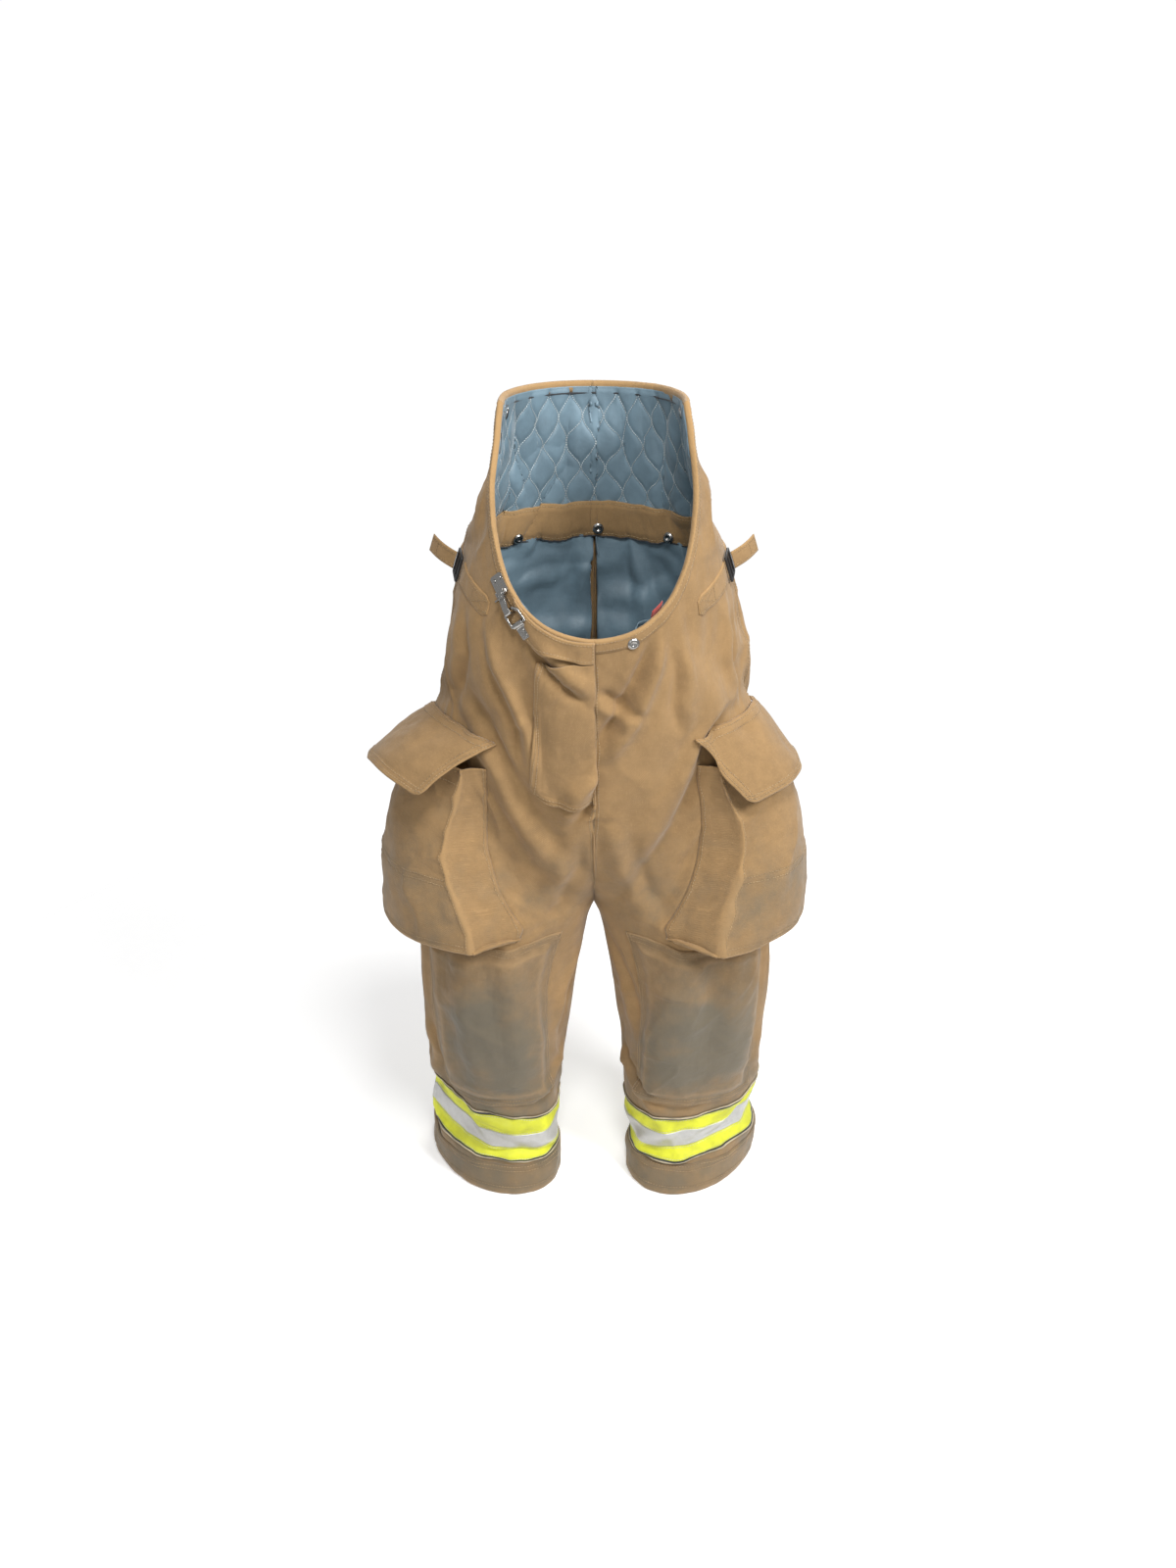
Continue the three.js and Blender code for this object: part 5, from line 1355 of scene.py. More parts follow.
def build_cuffs():
    # The cuff in section, as (height, distance off the face): down the outside, round the hem and up inside.
    profile = [(44, 0.2), (43.4, 1.9), (38, 2.3), (30, 2.3), (20, 2.2), (10, 2.6), (3.5, 2.9), (0.8, 1.6),
               (0.0, -0.6), (0.8, -2.8), (4, -4.0), (12, -4.4), (22, -4.5), (28, -4.4), (28.6, -5.6)]
    for side in SIDES:
        phi = np.linspace(-90, 90, 260, endpoint=False)[:, None]
        height, lift = np.array(profile, float).T
        z, lift = height[None] + 0 * phi, lift[None] + 0 * phi
        phi = phi + 0 * z
        seed = 121 if side == "left" else 123
        low = ease(44, 6, z)
        ruffle = 1.5 * noise(phi * DEGREE / 30, 0.5, seed, 2)
        ruffle = ruffle + 0.5 * noise(phi * DEGREE / 9, z / 9, seed + 1, 2)
        lift = lift + low * ruffle
        points, _ = outer_face().at(side, phi, z, lift)
        outward = points - points.mean(1, keepdims=True)
        wear = np.exp(-((z / 7) ** 2)) * 0.9
        cuff = cloth_piece(f"cuff_hem_{side}", points, outward, "knee_canvas", 0, uv=cloth_uv(phi, z),
                           values=cloth_values(side, phi, z, wear), closed=True)
        wall = cuff.modifiers.new("Cloth thickness", "SOLIDIFY")
        wall.thickness, wall.offset = 0.8 * MM, -1
        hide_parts(f"cuff_binding_{side}")
        rows = []
        for z_line, off in ((40.5, 2.5), (34.5, 2.6), (11.5, 2.9)):
            angle = np.append(phi[:, 0], phi[0, 0])
            extra = ease(44, 6, z_line) * 1.5 * noise(angle * DEGREE / 30, 0.5, seed, 2)
            rows.append(outer_face().at(side, angle, np.full_like(angle, z_line), off + extra))
        stitches(f"cuff_stitching_{side}", rows, "tan_thread")


# ---- Pockets and flaps ----

POCKET = {"back": -8.0, "front": 52.0, "bottom": 450.0, "mouth": 700.0}
LEAN = 13.0
FULL_DEPTH = 48.0


def bellows(z):
    """Depth of the bellows: shallow at the mouth and full a little above the middle."""
    return 26 + 22 * ease(0, (POCKET["mouth"] - POCKET["bottom"]) * 0.55, POCKET["mouth"] - z)


def leaning(side, phi, z, lift):
    """Points off the face that also move back round the leg as they move out."""
    return outer_face().off(side, phi - LEAN * np.asarray(lift) / FULL_DEPTH, z, lift)


def bag_section(count, gusset):
    """Across a bellows bag: the share of the depth, the share of the half width, and how far the pleat is
    tucked in. The gusset rises from the sewn edge to the corner, tucking in on the way, and the face runs
    between the corners."""
    u = np.linspace(0, 1, count)
    rise = np.clip(np.minimum(u, 1 - u) / gusset, 0, 1)
    across = np.clip((u - gusset) / (1 - 2 * gusset), 0, 1) * 2 - 1
    tuck = np.sin(np.pi * rise) * (rise < 1)
    return rise, across, tuck


def build_pockets():
    middle, half = (POCKET["back"] + POCKET["front"]) / 2, (POCKET["front"] - POCKET["back"]) / 2
    height = POCKET["mouth"] - POCKET["bottom"]
    for side in SIDES:
        seed = 131 if side == "left" else 137
        gusset = 0.17
        rise_u, across, tuck_u = bag_section(140, gusset)
        v = np.linspace(0, 1, 120)
        rise_v = np.clip(v / gusset, 0, 1)
        up = np.clip((v - gusset) / (1 - gusset), 0, 1)
        tuck_v = np.sin(np.pi * rise_v) * (rise_v < 1)
        rise = np.minimum(rise_u[:, None], rise_v[None])
        s, t = across[:, None] + 0 * up[None], up[None] + 0 * across[:, None]
        z0 = POCKET["bottom"] + height * t
        inward = 6.0 * tuck_u[:, None] * rise_v[None] / DEGREE
        phi = middle + s * half - np.sign(s) * inward
        z = z0 + 5.0 * tuck_v[None] * rise_u[:, None]
        on_face = ease(0.96, 1.0, rise)
        dome = (1 - s**2) * (1 - (2 * t - 1) ** 4 * 0.6) * 5.0 * on_face
        corner = np.exp(-(((1 - np.abs(s)) * half * DEGREE / 3.0) ** 2)) * on_face * 1.6
        crease = (1 - np.abs(noise(s * 1.9 + t * 1.6, t * 3.2 - s, seed + 8))) ** 5
        crumple = (3.4 * noise(s * 2.6, t * 4, seed, 3) + 3.2 * crease) * on_face
        crumple = crumple + 1.6 * noise(s * 4 + 9 * rise, t * 12, seed + 5, 2)
        slump = 3.0 * np.sin(3.0 * s + 1.3) * on_face * (0.4 + 0.6 * t)
        patch = 0.9 * ease(0.375, 0.362, t) * on_face
        lift = bellows(z0) * rise + dome + corner + crumple * rise + slump + patch + 1.0
        z = z - 5.0 * rise * (1 - t) ** 2
        points, normals = leaning(side, phi, z, np.maximum(lift, 0.8))
        centre = points.mean((0, 1))
        outward = points - centre + normals * 60
        side_wear, low_wear = np.exp(-(((1 - np.abs(s)) * 90 / 4) ** 2)), np.exp(-((t * height / 4) ** 2))
        wear = np.maximum(side_wear, low_wear) * ease(0.8, 1, rise)
        values = cloth_values(side, phi, z, np.maximum(wear, ease(0.985, 1, t)))
        values["soil"] = np.clip(values["soil"] + 0.1 * ease(0.4, 0.33, t) * on_face, 0, 1)
        bag = cloth_piece(f"bellows_pocket_{side}", points, outward, "shell_canvas", 1.8, uv=cloth_uv(phi, z),
                          values=values)
        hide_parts(f"pocket_gusset_{side}", f"pocket_face_{side}")
        declare_sheet(points)
        grid_normal = surface_normals(points, outward)
        first, last = int(140 * gusset) + 2, 139 - int(140 * gusset) - 2
        low = int(120 * gusset) + 2
        line = int(120 * (gusset + (1 - gusset) * 0.355))
        lines = [np.s_[k, low:] for k in (first, last)]
        lines += [np.s_[first:last, j] for j in (low, low + 2, 117, 110, line, line - 3)]
        lines += [np.s_[k, 4:] for k in (2, 137)]
        rows = [seam_row(points, grid_normal, index) for index in lines]
        stitches(f"pocket_stitching_{side}", rows, "tan_thread")
        # The loop strip lies on the face under the flap.
        keep_s = (across > -0.6) & (across < 0.54) & (rise_u >= 1)
        keep_t = (up > 0.79) & (up < 0.978)
        loop = (points + grid_normal * 1.3)[keep_s][:, keep_t]
        facing = grid_normal[keep_s][:, keep_t]
        strip = cloth_piece(f"pocket_loop_tape_{side}", loop, facing, "hook_and_loop", 1.2)
        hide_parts(f"pocket_loop_strip_{side}")


def surface_normals(points, outward):
    """Unit normals of a grid of points, turned to agree with the outward directions."""
    normal = np.cross(np.gradient(points, axis=0), np.gradient(points, axis=1))
    normal /= np.maximum(np.linalg.norm(normal, axis=-1, keepdims=True), 1e-9)
    return normal * np.where((normal * outward).sum() < 0, -1, 1)


def joint_of(name):
    return next(joint for joint in frame["joints"] if joint["name"] == name)


def turned(points, joint, degrees):
    """Points turned about a joint's axis, by Rodrigues' rule."""
    axis = np.array(joint["axis"], float)
    axis /= np.linalg.norm(axis)
    pivot = np.array(joint["pos_m"], float) / MM - CENTRE
    p = points - pivot
    c, s = math.cos(math.radians(degrees)), math.sin(math.radians(degrees))
    return pivot + p * c + np.cross(axis, p) * s + axis * (p @ axis)[..., None] * (1 - c)


FLAP = {"seam": 748.0, "drop": 95.0, "reach": 54.0, "back": -11.0, "front": 55.0}
FLAP_POP = {"left": 0.0, "right": 20.0}


def flap_points(side, s, t, lift):
    """A flap hangs from its seam and stands further off the leg as it falls: s runs across it and t down
    it."""
    phi = FLAP["back"] + (FLAP["front"] - FLAP["back"]) * s
    z = FLAP["seam"] - FLAP["drop"] * t
    off = 1.1 + FLAP["reach"] * t**0.8
    points, normals = leaning(side, phi, z, off)
    normal = surface_normals(points, normals)
    points = points + normal * lift[..., None]
    if FLAP_POP[side]:
        joint = joint_of(f"pocket_flap_lift_{side}")
        points = turned(points, joint, FLAP_POP[side])
        normal = surface_normals(points, normals)
    return phi, z, points, normal


def build_flaps():
    for side in SIDES:
        body_name = f"pocket_flap_{side}"
        seed = 141 if side == "left" else 143
        s = np.linspace(0, 1, 110)[:, None]
        t = np.linspace(0, 1, 60)[None]
        # The free corners are rounded.
        corner = np.clip((0.06 - np.minimum(s, 1 - s)) / 0.06, 0, 1)
        fall = 1 - (1 - np.sqrt(np.maximum(1 - corner**2, 0.0))) * 0.13
        t = t * fall
        s = s + 0 * t
        edge = np.minimum(np.minimum(s, 1 - s) * 230, (fall - t) * FLAP["drop"])
        deep = 1 if side == "left" else 0.4
        dimple = -5.0 * np.exp(-(((s - 0.62) / 0.1) ** 2) - ((t - 0.16) / 0.12) ** 2) * deep
        bow = 3.0 * np.sin(np.pi * s) * t + 3.6 * noise(s * 3.5, t * 2.2, seed, 3) * ease(0, 0.3, t)
        curl = 3.5 * ease(0.72, 1.0, t) * noise(s * 3, 0.5, seed + 3, 2)
        lift = sewn_edge(edge, 1.5) + dimple + bow + curl + 0.9
        phi, z, points, normals = flap_points(side, s, t, lift)
        values = cloth_values(side, phi, z, np.maximum(edge_wear(edge, 3.0), 0.5 * edge_wear(edge - 8.5, 2)))
        values["soil"] = np.clip(values["soil"] * 0.6, 0, 1)
        flap = cloth_piece(f"pocket_flap_cloth_{side}", points, normals, "shell_canvas", 2.4, None,
                           uv=cloth_uv(phi, z), values=values)
        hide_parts(f"pocket_flap_{side}")
        lines = [np.s_[:, 2], np.s_[:, 6]]
        for k in (2, 5):
            lines += [np.s_[k, :-2], np.s_[-1 - k, :-2], np.s_[2:-2, -2 - k]]
        rows = [seam_row(points, normals, index) for index in lines]
        thread = stitches(f"flap_stitching_{side}", rows, "tan_thread", None)
        strip_s = np.linspace(0.24, 0.74, 30)[:, None]
        strip_t = np.linspace(0.58, 0.94, 16)[None]
        base = 3.0 * np.sin(np.pi * strip_s) * strip_t + 3.6 * noise(strip_s * 3.5, strip_t * 2.2, seed, 3)
        base = base + 3.5 * ease(0.72, 1.0, strip_t) * noise(strip_s * 3 + 0 * strip_t, 0.5, seed + 3, 2)
        strip_s, strip_t = np.broadcast_arrays(strip_s, strip_t)
        _, _, strip_points, strip_normals = flap_points(side, strip_s, strip_t, base - 1.0)
        strip = cloth_piece(f"flap_hook_tape_{side}", strip_points, -strip_normals, "hook_and_loop", 1.3,
                            body_name)
        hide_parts(f"flap_hook_strip_{side}")
        declare_sheet(points)
        for piece in (flap, thread):
            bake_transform(piece)


# ---- Fly ----


def build_fly():
    """The fly flap is sewn at the centre front and covers the opening towards the wearer's right. Its free
    lower corner is a quarter of an oval."""
    seam, edge, corner = 88.5, 111.0, 10.0
    psi = np.linspace(seam, edge, 60)[:, None]
    t = np.linspace(0, 1, 130)[None]
    into = np.clip((psi - (edge - corner)) / corner, 0, 1)
    bottom = 664 + 38 * (1 - np.sqrt(1 - 0.97 * into**2))
    z = bottom + (862 - bottom) * t
    psi = psi + 0 * t
    rim_distance = np.minimum(np.minimum(edge - psi, 30) * DEGREE, (z - bottom))
    seed = 151
    swell = 2.4 * np.sin(np.pi * np.clip((psi - seam) / (edge - seam), 0, 1))
    swell = swell + 1.2 * noise(psi / 5, z / 40, seed, 3)
    curl = 1.6 * ease(18, 0, rim_distance) * (0.4 + noise(psi / 9, z / 55, seed + 4, 2))
    lift = 1.4 + sewn_edge(rim_distance, 1.9) + (swell + curl) * ease(seam, seam + 4, psi)
    points, normals = outer_face().round(psi, z, lift)
    phi = np.where(psi <= 90, psi, 180 - psi)
    values = cloth_values("right", phi, z, edge_wear(rim_distance, 3.5))
    flap = cloth_piece("fly_flap_cloth", points, normals, "shell_canvas", 2.2, None, uv=cloth_uv(psi, z),
                       values=values)
    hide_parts("fly_flap")
    declare_sheet(points)
    lines = []
    for k in (2, 5):
        lines += [np.s_[-1 - k, 2:], np.s_[: -1 - k, k]]
    rows = [seam_row(points, normals, index) for index in [*lines, np.s_[2], np.s_[6]]]
    thread = stitches("fly_stitching", rows, "tan_thread", None)
    for piece in (flap, thread):
        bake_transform(piece)


# ---- Straps and hardware ----


def strap_grid(side, start, end, width, lift, point=0.0, count=60):
    """A strap laid on the face from one (phi, z) to another, whose last stretch may narrow to a point."""
    u = np.linspace(0, 1, count)[:, None]
    v = np.linspace(-1, 1, 13)[None]
    narrow = 1 - point * ease(0.9, 1.0, u) * 1.0
    phi = start[0] + (end[0] - start[0]) * u + 0 * v
    z = start[1] + (end[1] - start[1]) * u + v * width / 2 * narrow
    edge = np.minimum((1 - np.abs(v)) * width / 2, np.minimum(u, 1 - u) * 90)
    height = lift + 1.5 * (1 - np.exp(-((edge / 1.2) ** 2))) - 0.4 * np.exp(-(((edge - 3.5) / 1.2) ** 2))
    points, normals = outer_face().at(side, phi, z, height)
    return phi, z, edge, points, normals


def refined(node, name, finish, body_name, bevel=0.4, angle=35):
    """A copy of a CAD node with its corners joined and its edges rounded, which stands for the node."""
    source = frame["nodes"][node]
    mesh = source.data.copy()
    mesh.name = name
    shape = bmesh.new()
    shape.from_mesh(mesh)
    bmesh.ops.remove_doubles(shape, verts=shape.verts, dist=2e-6)
    bmesh.ops.dissolve_limit(shape, angle_limit=math.radians(2), verts=shape.verts, edges=shape.edges)
    for element in shape.faces:
        element.smooth = True
    shape.to_mesh(mesh)
    shape.free()
    mesh.materials.clear()
    mesh.materials.append(material(finish))
    piece = bpy.data.objects.new(name, mesh)
    bpy.context.scene.collection.objects.link(piece)
    edge = piece.modifiers.new("Rounded edges", "BEVEL")
    edge.width, edge.segments, edge.limit_method = bevel * MM, 3, "ANGLE"
    edge.angle_limit = math.radians(angle)
    edge.harden_normals = False
    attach(piece, body_name)
    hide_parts(node)
    return piece


def build_takeups():
    for side in SIDES:
        for name, start, end, lift, point in (
            ("takeup_tab", (17.0, 944.0), (44.0, 920.0), 0.5, 0.35),
            ("takeup_strap", (9.0, 947.0), (-38.0, 956.0), 0.5, 0.0),
        ):
            phi, z, edge, points, normals = strap_grid(side, start, end, 26, lift, point)
            values = cloth_values(side, phi, z, edge_wear(edge, 2))
            strap = cloth_piece(f"{name}_cloth_{side}", points, normals, "shell_canvas", 1.8,
                                uv=cloth_uv(phi, z), values=values)
            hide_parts(f"{name}_{side}")
            declare_sheet(points)
            lines = [np.s_[34:58, j] for j in (2, 10)] + [np.s_[k, 2:11] for k in (34, 57)]
            steps = np.linspace(0, 1, 24)
            for a, b in ((2, 10), (10, 2)):
                lines.append((34 + np.arange(24), np.round(a + (b - a) * steps).astype(int)))
            lines += [np.s_[2:34, j] for j in (2, 10)]
            rows = [seam_row(points, normals, index) for index in lines]
            stitches(f"{name}_stitching_{side}", rows, "tan_thread", pitch=3.6, length=2.8, width=0.9)
        refined(f"takeup_buckle_{side}", f"takeup_slide_{side}", "black_plastic", f"buckle_{side}", 0.7)
        build_tail(side)


def build_tail(side):
    """The strap's tail is the CAD tail's own plane, bent a little as cloth bends: its long way, its width and
    its thickness are read from the node's corners by their principal directions."""
    corners = np.array([v.co for v in frame["nodes"][f"strap_tail_{side}"].data.vertices]) / MM
    distinct = np.unique(np.round(corners, 2), axis=0)
    middle = distinct.mean(0)
    _, _, directions = np.linalg.svd(distinct - middle)
    long, wide, out = directions
    pivot = np.array(joint_of(f"tail_swing_{side}")["pos_m"]) / MM
    long = long * np.sign(((middle - pivot) @ long))
    away = np.array([SIDES[side], 0, 0.0])
    out = out * np.sign(out @ away) if abs(out @ away) > 0.1 else out
    reach = (corners - middle) @ long
    half = np.abs((corners - middle) @ wide).max()
    u = np.linspace(0, 1, 40)[:, None]
    v = np.linspace(-1, 1, 13)[None]
    bend = 3.0 * np.sin(np.pi * u) - 1.5 * u**2
    along = reach.min() + (reach.max() - reach.min()) * u
    edge = np.minimum((1 - np.abs(v)) * half, np.minimum(u, 1 - u) * 46)
    lift = bend + 0.5 + 0.5 * (1 - np.exp(-((edge / 1.2) ** 2)))
    points = middle + along[..., None] * long + (v * half)[..., None] * wide
    points = points + (lift + 0 * v)[..., None] * out - CENTRE
    normals = surface_normals(points, np.broadcast_to(out, points.shape))
    uv = np.stack([along + 0 * v, v * half + 0 * u], -1)
    values = {"soil": 0.1 + 0 * edge, "wear": edge_wear(edge, 2)}
    tail = cloth_piece(f"strap_end_{side}", points, normals, "shell_canvas", 1.5, f"tail_{side}", uv=uv,
                       values=values)
    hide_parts(f"strap_tail_{side}")
    declare_sheet(points)
    lines = [np.s_[2:-2, j] for j in (2, 10)] + [np.s_[k, 2:11] for k in (26, 37)]
    rows = [seam_row(points, normals, index) for index in lines]
    stitches(f"strap_end_stitching_{side}", rows, "tan_thread", f"tail_{side}", pitch=3.6, length=2.8,
             width=0.9)


# A snap cap in section, as (distance from its middle, height), from the dished middle to the rim.
SNAP_PROFILE = [(0.0, 1.15), (1.6, 1.2), (2.3, 1.75), (3.0, 2.35), (4.2, 2.6), (5.4, 2.45), (6.2, 1.9),
                (6.6, 1.25), (6.9, 1.05), (7.3, 1.0), (7.5, 0.7), (7.5, 0.0)]


def snap(name, node, place, out, seed):
    """A pressed snap cap: a ring with a hollow middle and a flat rim, turned about its own axis."""
    profile = np.array(SNAP_PROFILE)
    angle = np.linspace(0, 2 * np.pi, 32, endpoint=False)[:, None]
    across = np.cross(out, (0.0, 0.0, 1.0))
    across /= np.linalg.norm(across)
    up = np.cross(across, out)
    dent = 1 + 0.015 * np.cos(2 * angle + seed)
    radius, height = profile[:, 0][None], profile[:, 1][None]
    points = (
        place
        + (radius * np.cos(angle) * dent)[..., None] * across
        + (radius * np.sin(angle) * dent)[..., None] * up
        + (height + 0 * angle)[..., None] * out
    )
    faces = quads(32, len(profile), True)
    flat = points.reshape(-1, 3)
    outward = np.broadcast_to(out, points.shape).reshape(-1, 3) * 4 + (flat - place)
    if (face_normals(flat, faces) * outward[faces[:, 0]]).sum() < 0:
        faces = faces[:, ::-1]
    piece = make_piece(name, points, faces, "nickel_hardware")
    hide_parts(node)
    return piece


def build_snaps():
    face = outer_face()
    for side in SIDES:
        place, out = face.at(side, np.array(-3.0), rim(-3.0) - 17, -12.2)
        snap(f"bib_snap_cap_{side}", f"bib_snap_{side}", place, -out, 1)
    place, out = face.at("left", np.array(75.0), rim(75.0) - 14, 1.4)
    snap("front_snap_cap", "front_snap", place, out, 2)
    for number, psi in enumerate((-131.0, -87.0, -49.0), 1):
        place, out = face.round(psi, 950.0, -13.6)
        snap(f"facing_snap_cap_{number}", f"facing_snap_{number}", place, -out, number)


def build_closure():
    for node, name, body_name, bevel in (
        ("hook_plate", "hook_base", "garment", 0.35),
        ("hook_pin", "hook_axle", "garment", 0.3),
        ("closure_hook", "hook_arm", "closure_hook", 0.4),
        ("dee_plate", "dee_clasp", "garment", 0.35),
        ("closure_dee", "dee_ring", "closure_dee", 0.9),
        ("hook_rivet_1", "hook_rivet_head_1", "garment", 0.2),
        ("hook_rivet_2", "hook_rivet_head_2", "garment", 0.2),
        ("dee_rivet_1", "dee_rivet_head_1", "garment", 0.2),
        ("dee_rivet_2", "dee_rivet_head_2", "garment", 0.2),
    ):
        refined(node, name, "nickel_hardware", body_name, bevel)


# ---- Stage ----


def build_stage():
    settings = bpy.context.scene.pants_stage
    # The floor is a round sheet of paper, drawn as rings.
    angle = np.linspace(0, 2 * np.pi, 65)[:, None]
    radius = np.linspace(0.0, 1.6, 9)[None]
    points = np.stack([radius * np.cos(angle), radius * np.sin(angle), 0 * radius * angle], -1)
    mesh = bpy.data.meshes.new("studio_floor")
    mesh.from_pydata(points.reshape(-1, 3).tolist(), [], quads(*points.shape[:2]).tolist())
    mesh.polygons.foreach_set("use_smooth", [True] * len(mesh.polygons))
    floor = bpy.data.objects.new("studio_floor", mesh)
    bpy.context.scene.collection.objects.link(floor)
    paper = bpy.data.materials.new("studio_paper")
    paper.use_nodes = True
    paper.node_tree.nodes.clear()
    nodes = Nodes(paper.node_tree)
    place = nodes.place()
    fibre = nodes.noise(place, 40.0, 3.0)
    base = nodes.mix(fibre, shade(0.9, 0.9, 0.9), shade(0.93, 0.93, 0.93))
    # The paper glows a little, and fades out into the white round about.
    looks = {"Base Color": base, "Roughness": 0.9, "Emission Color": shade(1, 1, 1)}
    glow = nodes.add("ShaderNodeBsdfPrincipled", {**looks, "Emission Strength": 0.22})
    clear = nodes.add("ShaderNodeBsdfTransparent")
    away = nodes.add("ShaderNodeVectorMath", {0: place}, operation="LENGTH").outputs["Value"]
    fade = nodes.add("ShaderNodeMapRange", {"Value": away, "From Min": 0.75, "From Max": 1.5},
                     interpolation_type="SMOOTHSTEP").outputs["Result"]
    both = nodes.add("ShaderNodeMixShader", {0: fade, 1: glow.outputs[0], 2: clear.outputs[0]})
    target = nodes.add("ShaderNodeOutputMaterial")
    nodes.tree.links.new(both.outputs[0], target.inputs["Surface"])
    mesh.materials.append(paper)
    floor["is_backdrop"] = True

    world = bpy.data.worlds.new("studio")
    bpy.context.scene.world = world
    world.use_nodes = True
    background = world.node_tree.nodes["Background"]
    background.inputs["Color"].default_value = shade(1.0, 1.0, 1.0)
    # The surroundings are seen white, and light the garment by the fill's share.
    tree = Nodes(world.node_tree)
    seen = tree.add("ShaderNodeLightPath").outputs["Is Camera Ray"]
    strength = tree.add("ShaderNodeMapRange", {"Value": seen, "To Min": settings.fill, "To Max": 1.02})
    world.node_tree.links.new(strength.outputs["Result"], background.inputs["Strength"])

    def lamp(name, place, aim, size, power):
        light = bpy.data.lights.new(name, "AREA")
        light.shape, light.size, light.energy = "DISK", size, power
        holder = bpy.data.objects.new(name, light)
        holder.location = place
        holder.rotation_euler = (Vector(aim) - Vector(place)).to_track_quat("-Z", "Y").to_euler()
        bpy.context.scene.collection.objects.link(holder)

    lamp("key_light", (1.9, -1.5, 2.6), (0, 0, 0.6), 1.0, settings.key)
    lamp("front_light", (-1.6, -2.4, 1.9), (0, 0, 0.5), 1.8, settings.key * 0.12)
    lamp("top_light", (0.15, -1.15, 2.5), (0, 0.08, 0.85), 0.5, settings.key * 0.3)
    lamp("rim_light", (0.6, 2.2, 2.4), (0, 0, 0.8), 1.4, settings.key * 0.4)

    camera = bpy.data.cameras.new("camera")
    camera.sensor_width = 36
    camera.lens = settings.lens
    camera.shift_x = -0.00375
    holder = bpy.data.objects.new("camera", camera)
    offset = Vector((CENTRE[0] * MM, CENTRE[1] * MM, 0))
    holder.location = Vector(settings.camera) + offset
    aim = Vector(settings.aim) + offset
    holder.rotation_euler = (aim - holder.location).to_track_quat("-Z", "Y").to_euler()
    bpy.context.scene.collection.objects.link(holder)
    bpy.context.scene.camera = holder
    bpy.context.scene.view_settings.view_transform = "Standard"


# ---- Add-on ----


def colour_property(name, description, rgb):
    return FloatVectorProperty(
        name=name, description=description, default=rgb, size=3, min=0, max=1, subtype="COLOR"
    )


class PantsColours(bpy.types.PropertyGroup):
    canvas: colour_property("Canvas", "Colour of the outer shell's duck canvas", (0.31, 0.19, 0.083))
    patch: colour_property("Patch canvas", "Colour of the knee patches and the cuffs", (0.25, 0.162, 0.08))
    lining: colour_property("Lining", "Colour of the quilted lining and the liner", (0.15, 0.225, 0.275))
    lime: colour_property("Lime tape", "Colour of the fluorescent tape", (0.74, 0.76, 0.03))
    silver: colour_property("Silver stripe", "Colour of the reflective stripe", (0.52, 0.52, 0.51))
    fastener: colour_property("Hook and loop", "Colour of the hook-and-loop tape", (0.014, 0.014, 0.016))
    nickel: colour_property("Nickel", "Colour of the metal fittings", (0.4, 0.39, 0.375))
    plastic: colour_property("Plastic", "Colour of the take-up slides", (0.012, 0.012, 0.013))
    red: colour_property("Pull tab", "Colour of the liner's pull tab", (0.42, 0.05, 0.04))
    tan_thread: colour_property("Shell thread", "Colour of the thread on the shell", (0.4, 0.27, 0.13))
    pale_thread: colour_property("Quilting thread", "Colour of the thread on the lining", (0.6, 0.66, 0.66))
    # The dark cords' colour is also the painted shadow along the facing's lower edge.
    piping: colour_property("Dark piping", "Colour of the dark cords", (0.02, 0.022, 0.026))
    pale_piping: colour_property("Pale piping", "Colour of the trim's outer edges", (0.5, 0.42, 0.28))


class PantsCloth(bpy.types.PropertyGroup):
    fold_height: FloatProperty(name="Fold height", default=1.2, min=0, max=1.4, subtype="FACTOR",
                               description="Height of the folds, as a share of the usual one")
    settling: FloatProperty(name="Settling", description="Share of the simulated movement that is kept",
                            default=0.9, min=0, max=1, subtype="FACTOR")


class PantsStage(bpy.types.PropertyGroup):
    fill: FloatProperty(name="Fill", description="Strength of the light from all round", default=0.42, min=0)
    key: FloatProperty(name="Key", description="Power of the main light", default=82, min=0, subtype="POWER",
                       unit="POWER")
    lens: FloatProperty(name="Lens", description="Focal length, in millimetres", default=36.45, min=10)
    camera: FloatVectorProperty(name="Camera", description="The camera's place from the garment's middle",
                                default=(0, -1.96, 1.60), size=3, subtype="TRANSLATION", unit="LENGTH")
    aim: FloatVectorProperty(name="Aim", description="The place that the camera looks at",
                             default=(0, 0, 0.62), size=3, subtype="TRANSLATION", unit="LENGTH")


def operator_class(suffix, label, description, build):
    """An operator that builds one group of pieces."""

    def execute(self, context):
        build()
        return {"FINISHED"}

    return type(
        f"PANTS_OT_{suffix}",
        (bpy.types.Operator,),
        {"bl_idname": f"pants.{suffix}", "bl_label": label, "__doc__": description, "execute": execute},
    )


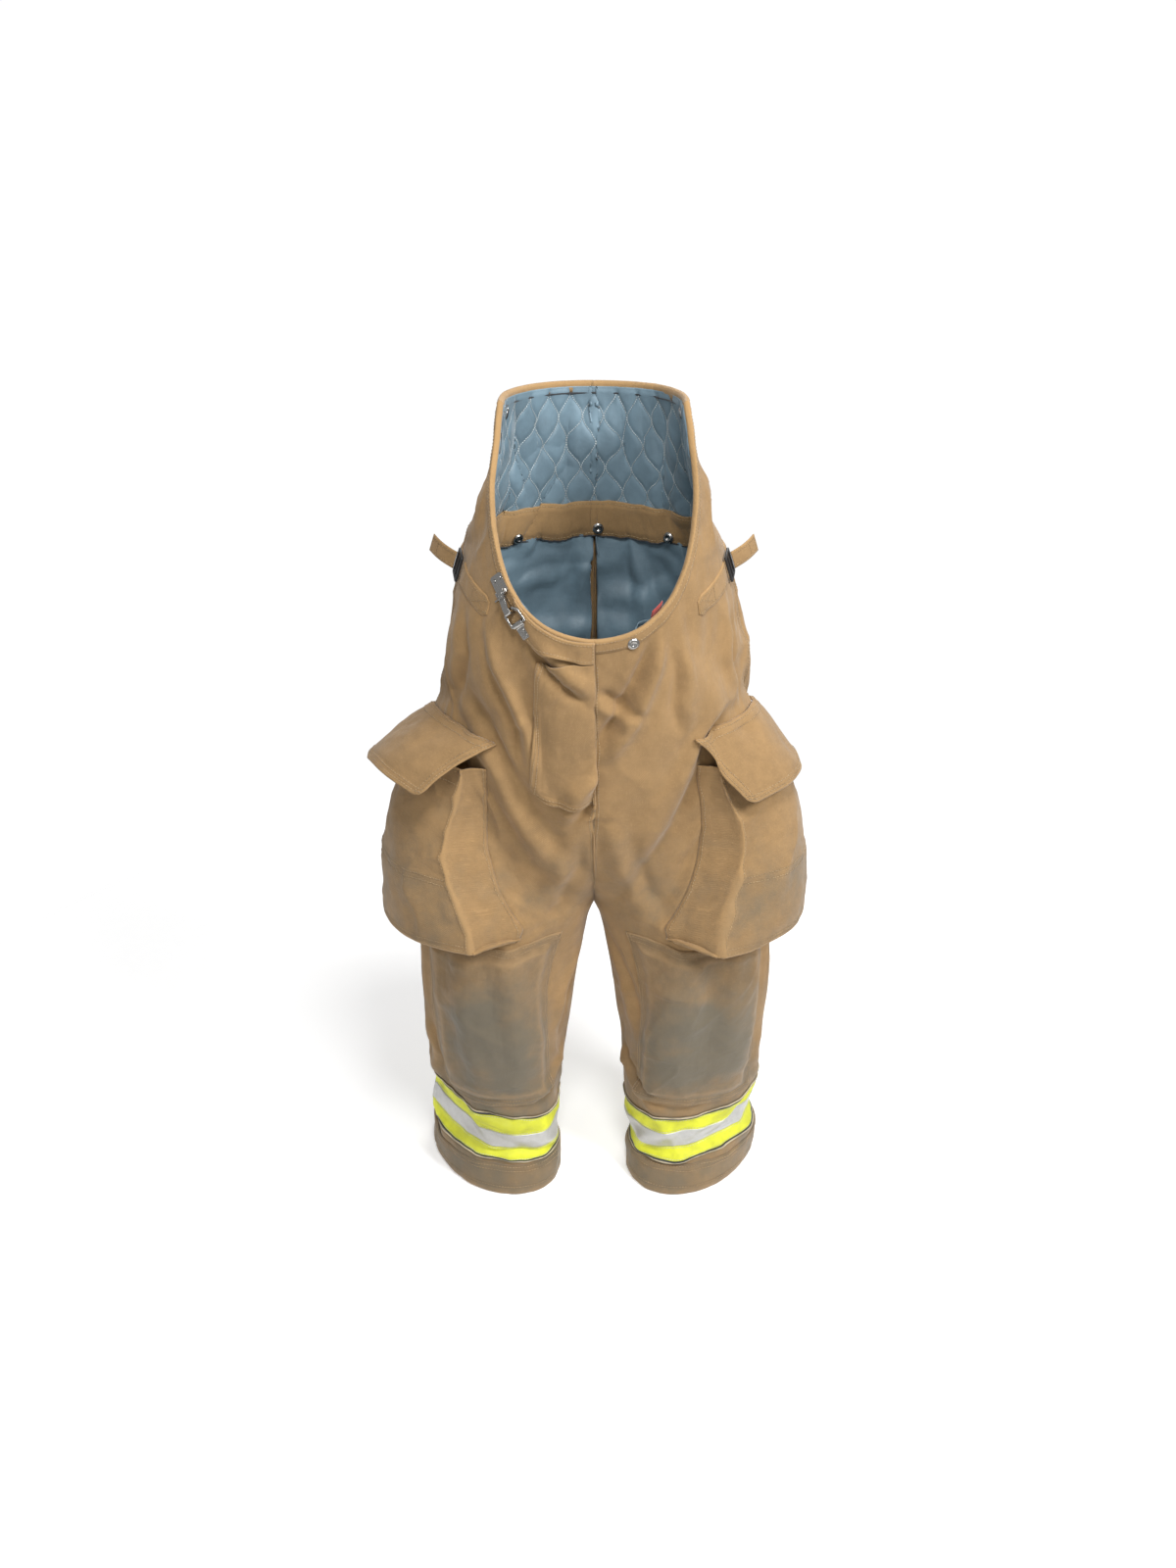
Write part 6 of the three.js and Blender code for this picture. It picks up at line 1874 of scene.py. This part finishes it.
OPERATORS = [
    operator_class("shell", "Shell", "Builds the four outer panels and their seams", build_shell),
    operator_class("binding", "Top Edge", "Builds the turned top edge and the cord inside it", build_binding),
    operator_class("waistband", "Waistband", "Builds the waistband's lap and the shield behind the fly",
                   build_waistband),
    operator_class("liner", "Liner", "Builds the liner of both halves", build_liner),
    operator_class("bib", "Quilted Lining", "Builds the quilted lining of the high back", build_bib_lining),
    operator_class("facing", "Facing", "Builds the facing band and the liner's pull tab", build_facing),
    operator_class("knees", "Knees", "Builds the knee reinforcements", build_knees),
    operator_class("trim", "Trim", "Builds the reflective trim", build_trim),
    operator_class("cuffs", "Cuffs", "Builds the cuffs", build_cuffs),
    operator_class("pockets", "Pockets", "Builds the bellows pockets", build_pockets),
    operator_class("flaps", "Flaps", "Builds the pocket flaps", build_flaps),
    operator_class("fly", "Fly", "Builds the fly flap", build_fly),
    operator_class("takeups", "Take-ups", "Builds the take-up straps and their slides", build_takeups),
    operator_class("snaps", "Snaps", "Builds the snap caps", build_snaps),
    operator_class("closure", "Closure", "Builds the hook and dee", build_closure),
    operator_class("stage", "Stage", "Builds the floor, the lights and the camera", build_stage),
]


class PANTS_PT_panel(bpy.types.Panel):
    """Lists the garment's sizes, colours and steps."""

    bl_label = "Bunker Pants"
    bl_idname = "PANTS_PT_panel"
    bl_space_type = "VIEW_3D"
    bl_region_type = "UI"
    bl_category = "Bunker Pants"

    def draw(self, context):
        for group in (context.scene.pants_cloth, context.scene.pants_stage, context.scene.pants_colours):
            box = self.layout.box()
            for name in group.__annotations__:
                box.prop(group, name)
        for operator in OPERATORS:
            self.layout.operator(operator.bl_idname)


CLASSES = [PantsColours, PantsCloth, PantsStage, *OPERATORS, PANTS_PT_panel]


def register():
    for kind in CLASSES:
        bpy.utils.register_class(kind)
    bpy.types.Scene.pants_colours = PointerProperty(type=PantsColours)
    bpy.types.Scene.pants_cloth = PointerProperty(type=PantsCloth)
    bpy.types.Scene.pants_stage = PointerProperty(type=PantsStage)


def unregister():
    for name in ("pants_colours", "pants_cloth", "pants_stage"):
        delattr(bpy.types.Scene, name)
    for kind in reversed(CLASSES):
        bpy.utils.unregister_class(kind)


def main():
    register()
    build_groups()
    for operator in OPERATORS:
        step = getattr(bpy.ops.pants, operator.bl_idname.split(".")[1])
        step()
    visual_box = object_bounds()
    sizes = {"cad": [list(corner) for corner in CAD_BOX], "visual": [list(corner) for corner in visual_box]}


if __name__ == "__main__":
    main()
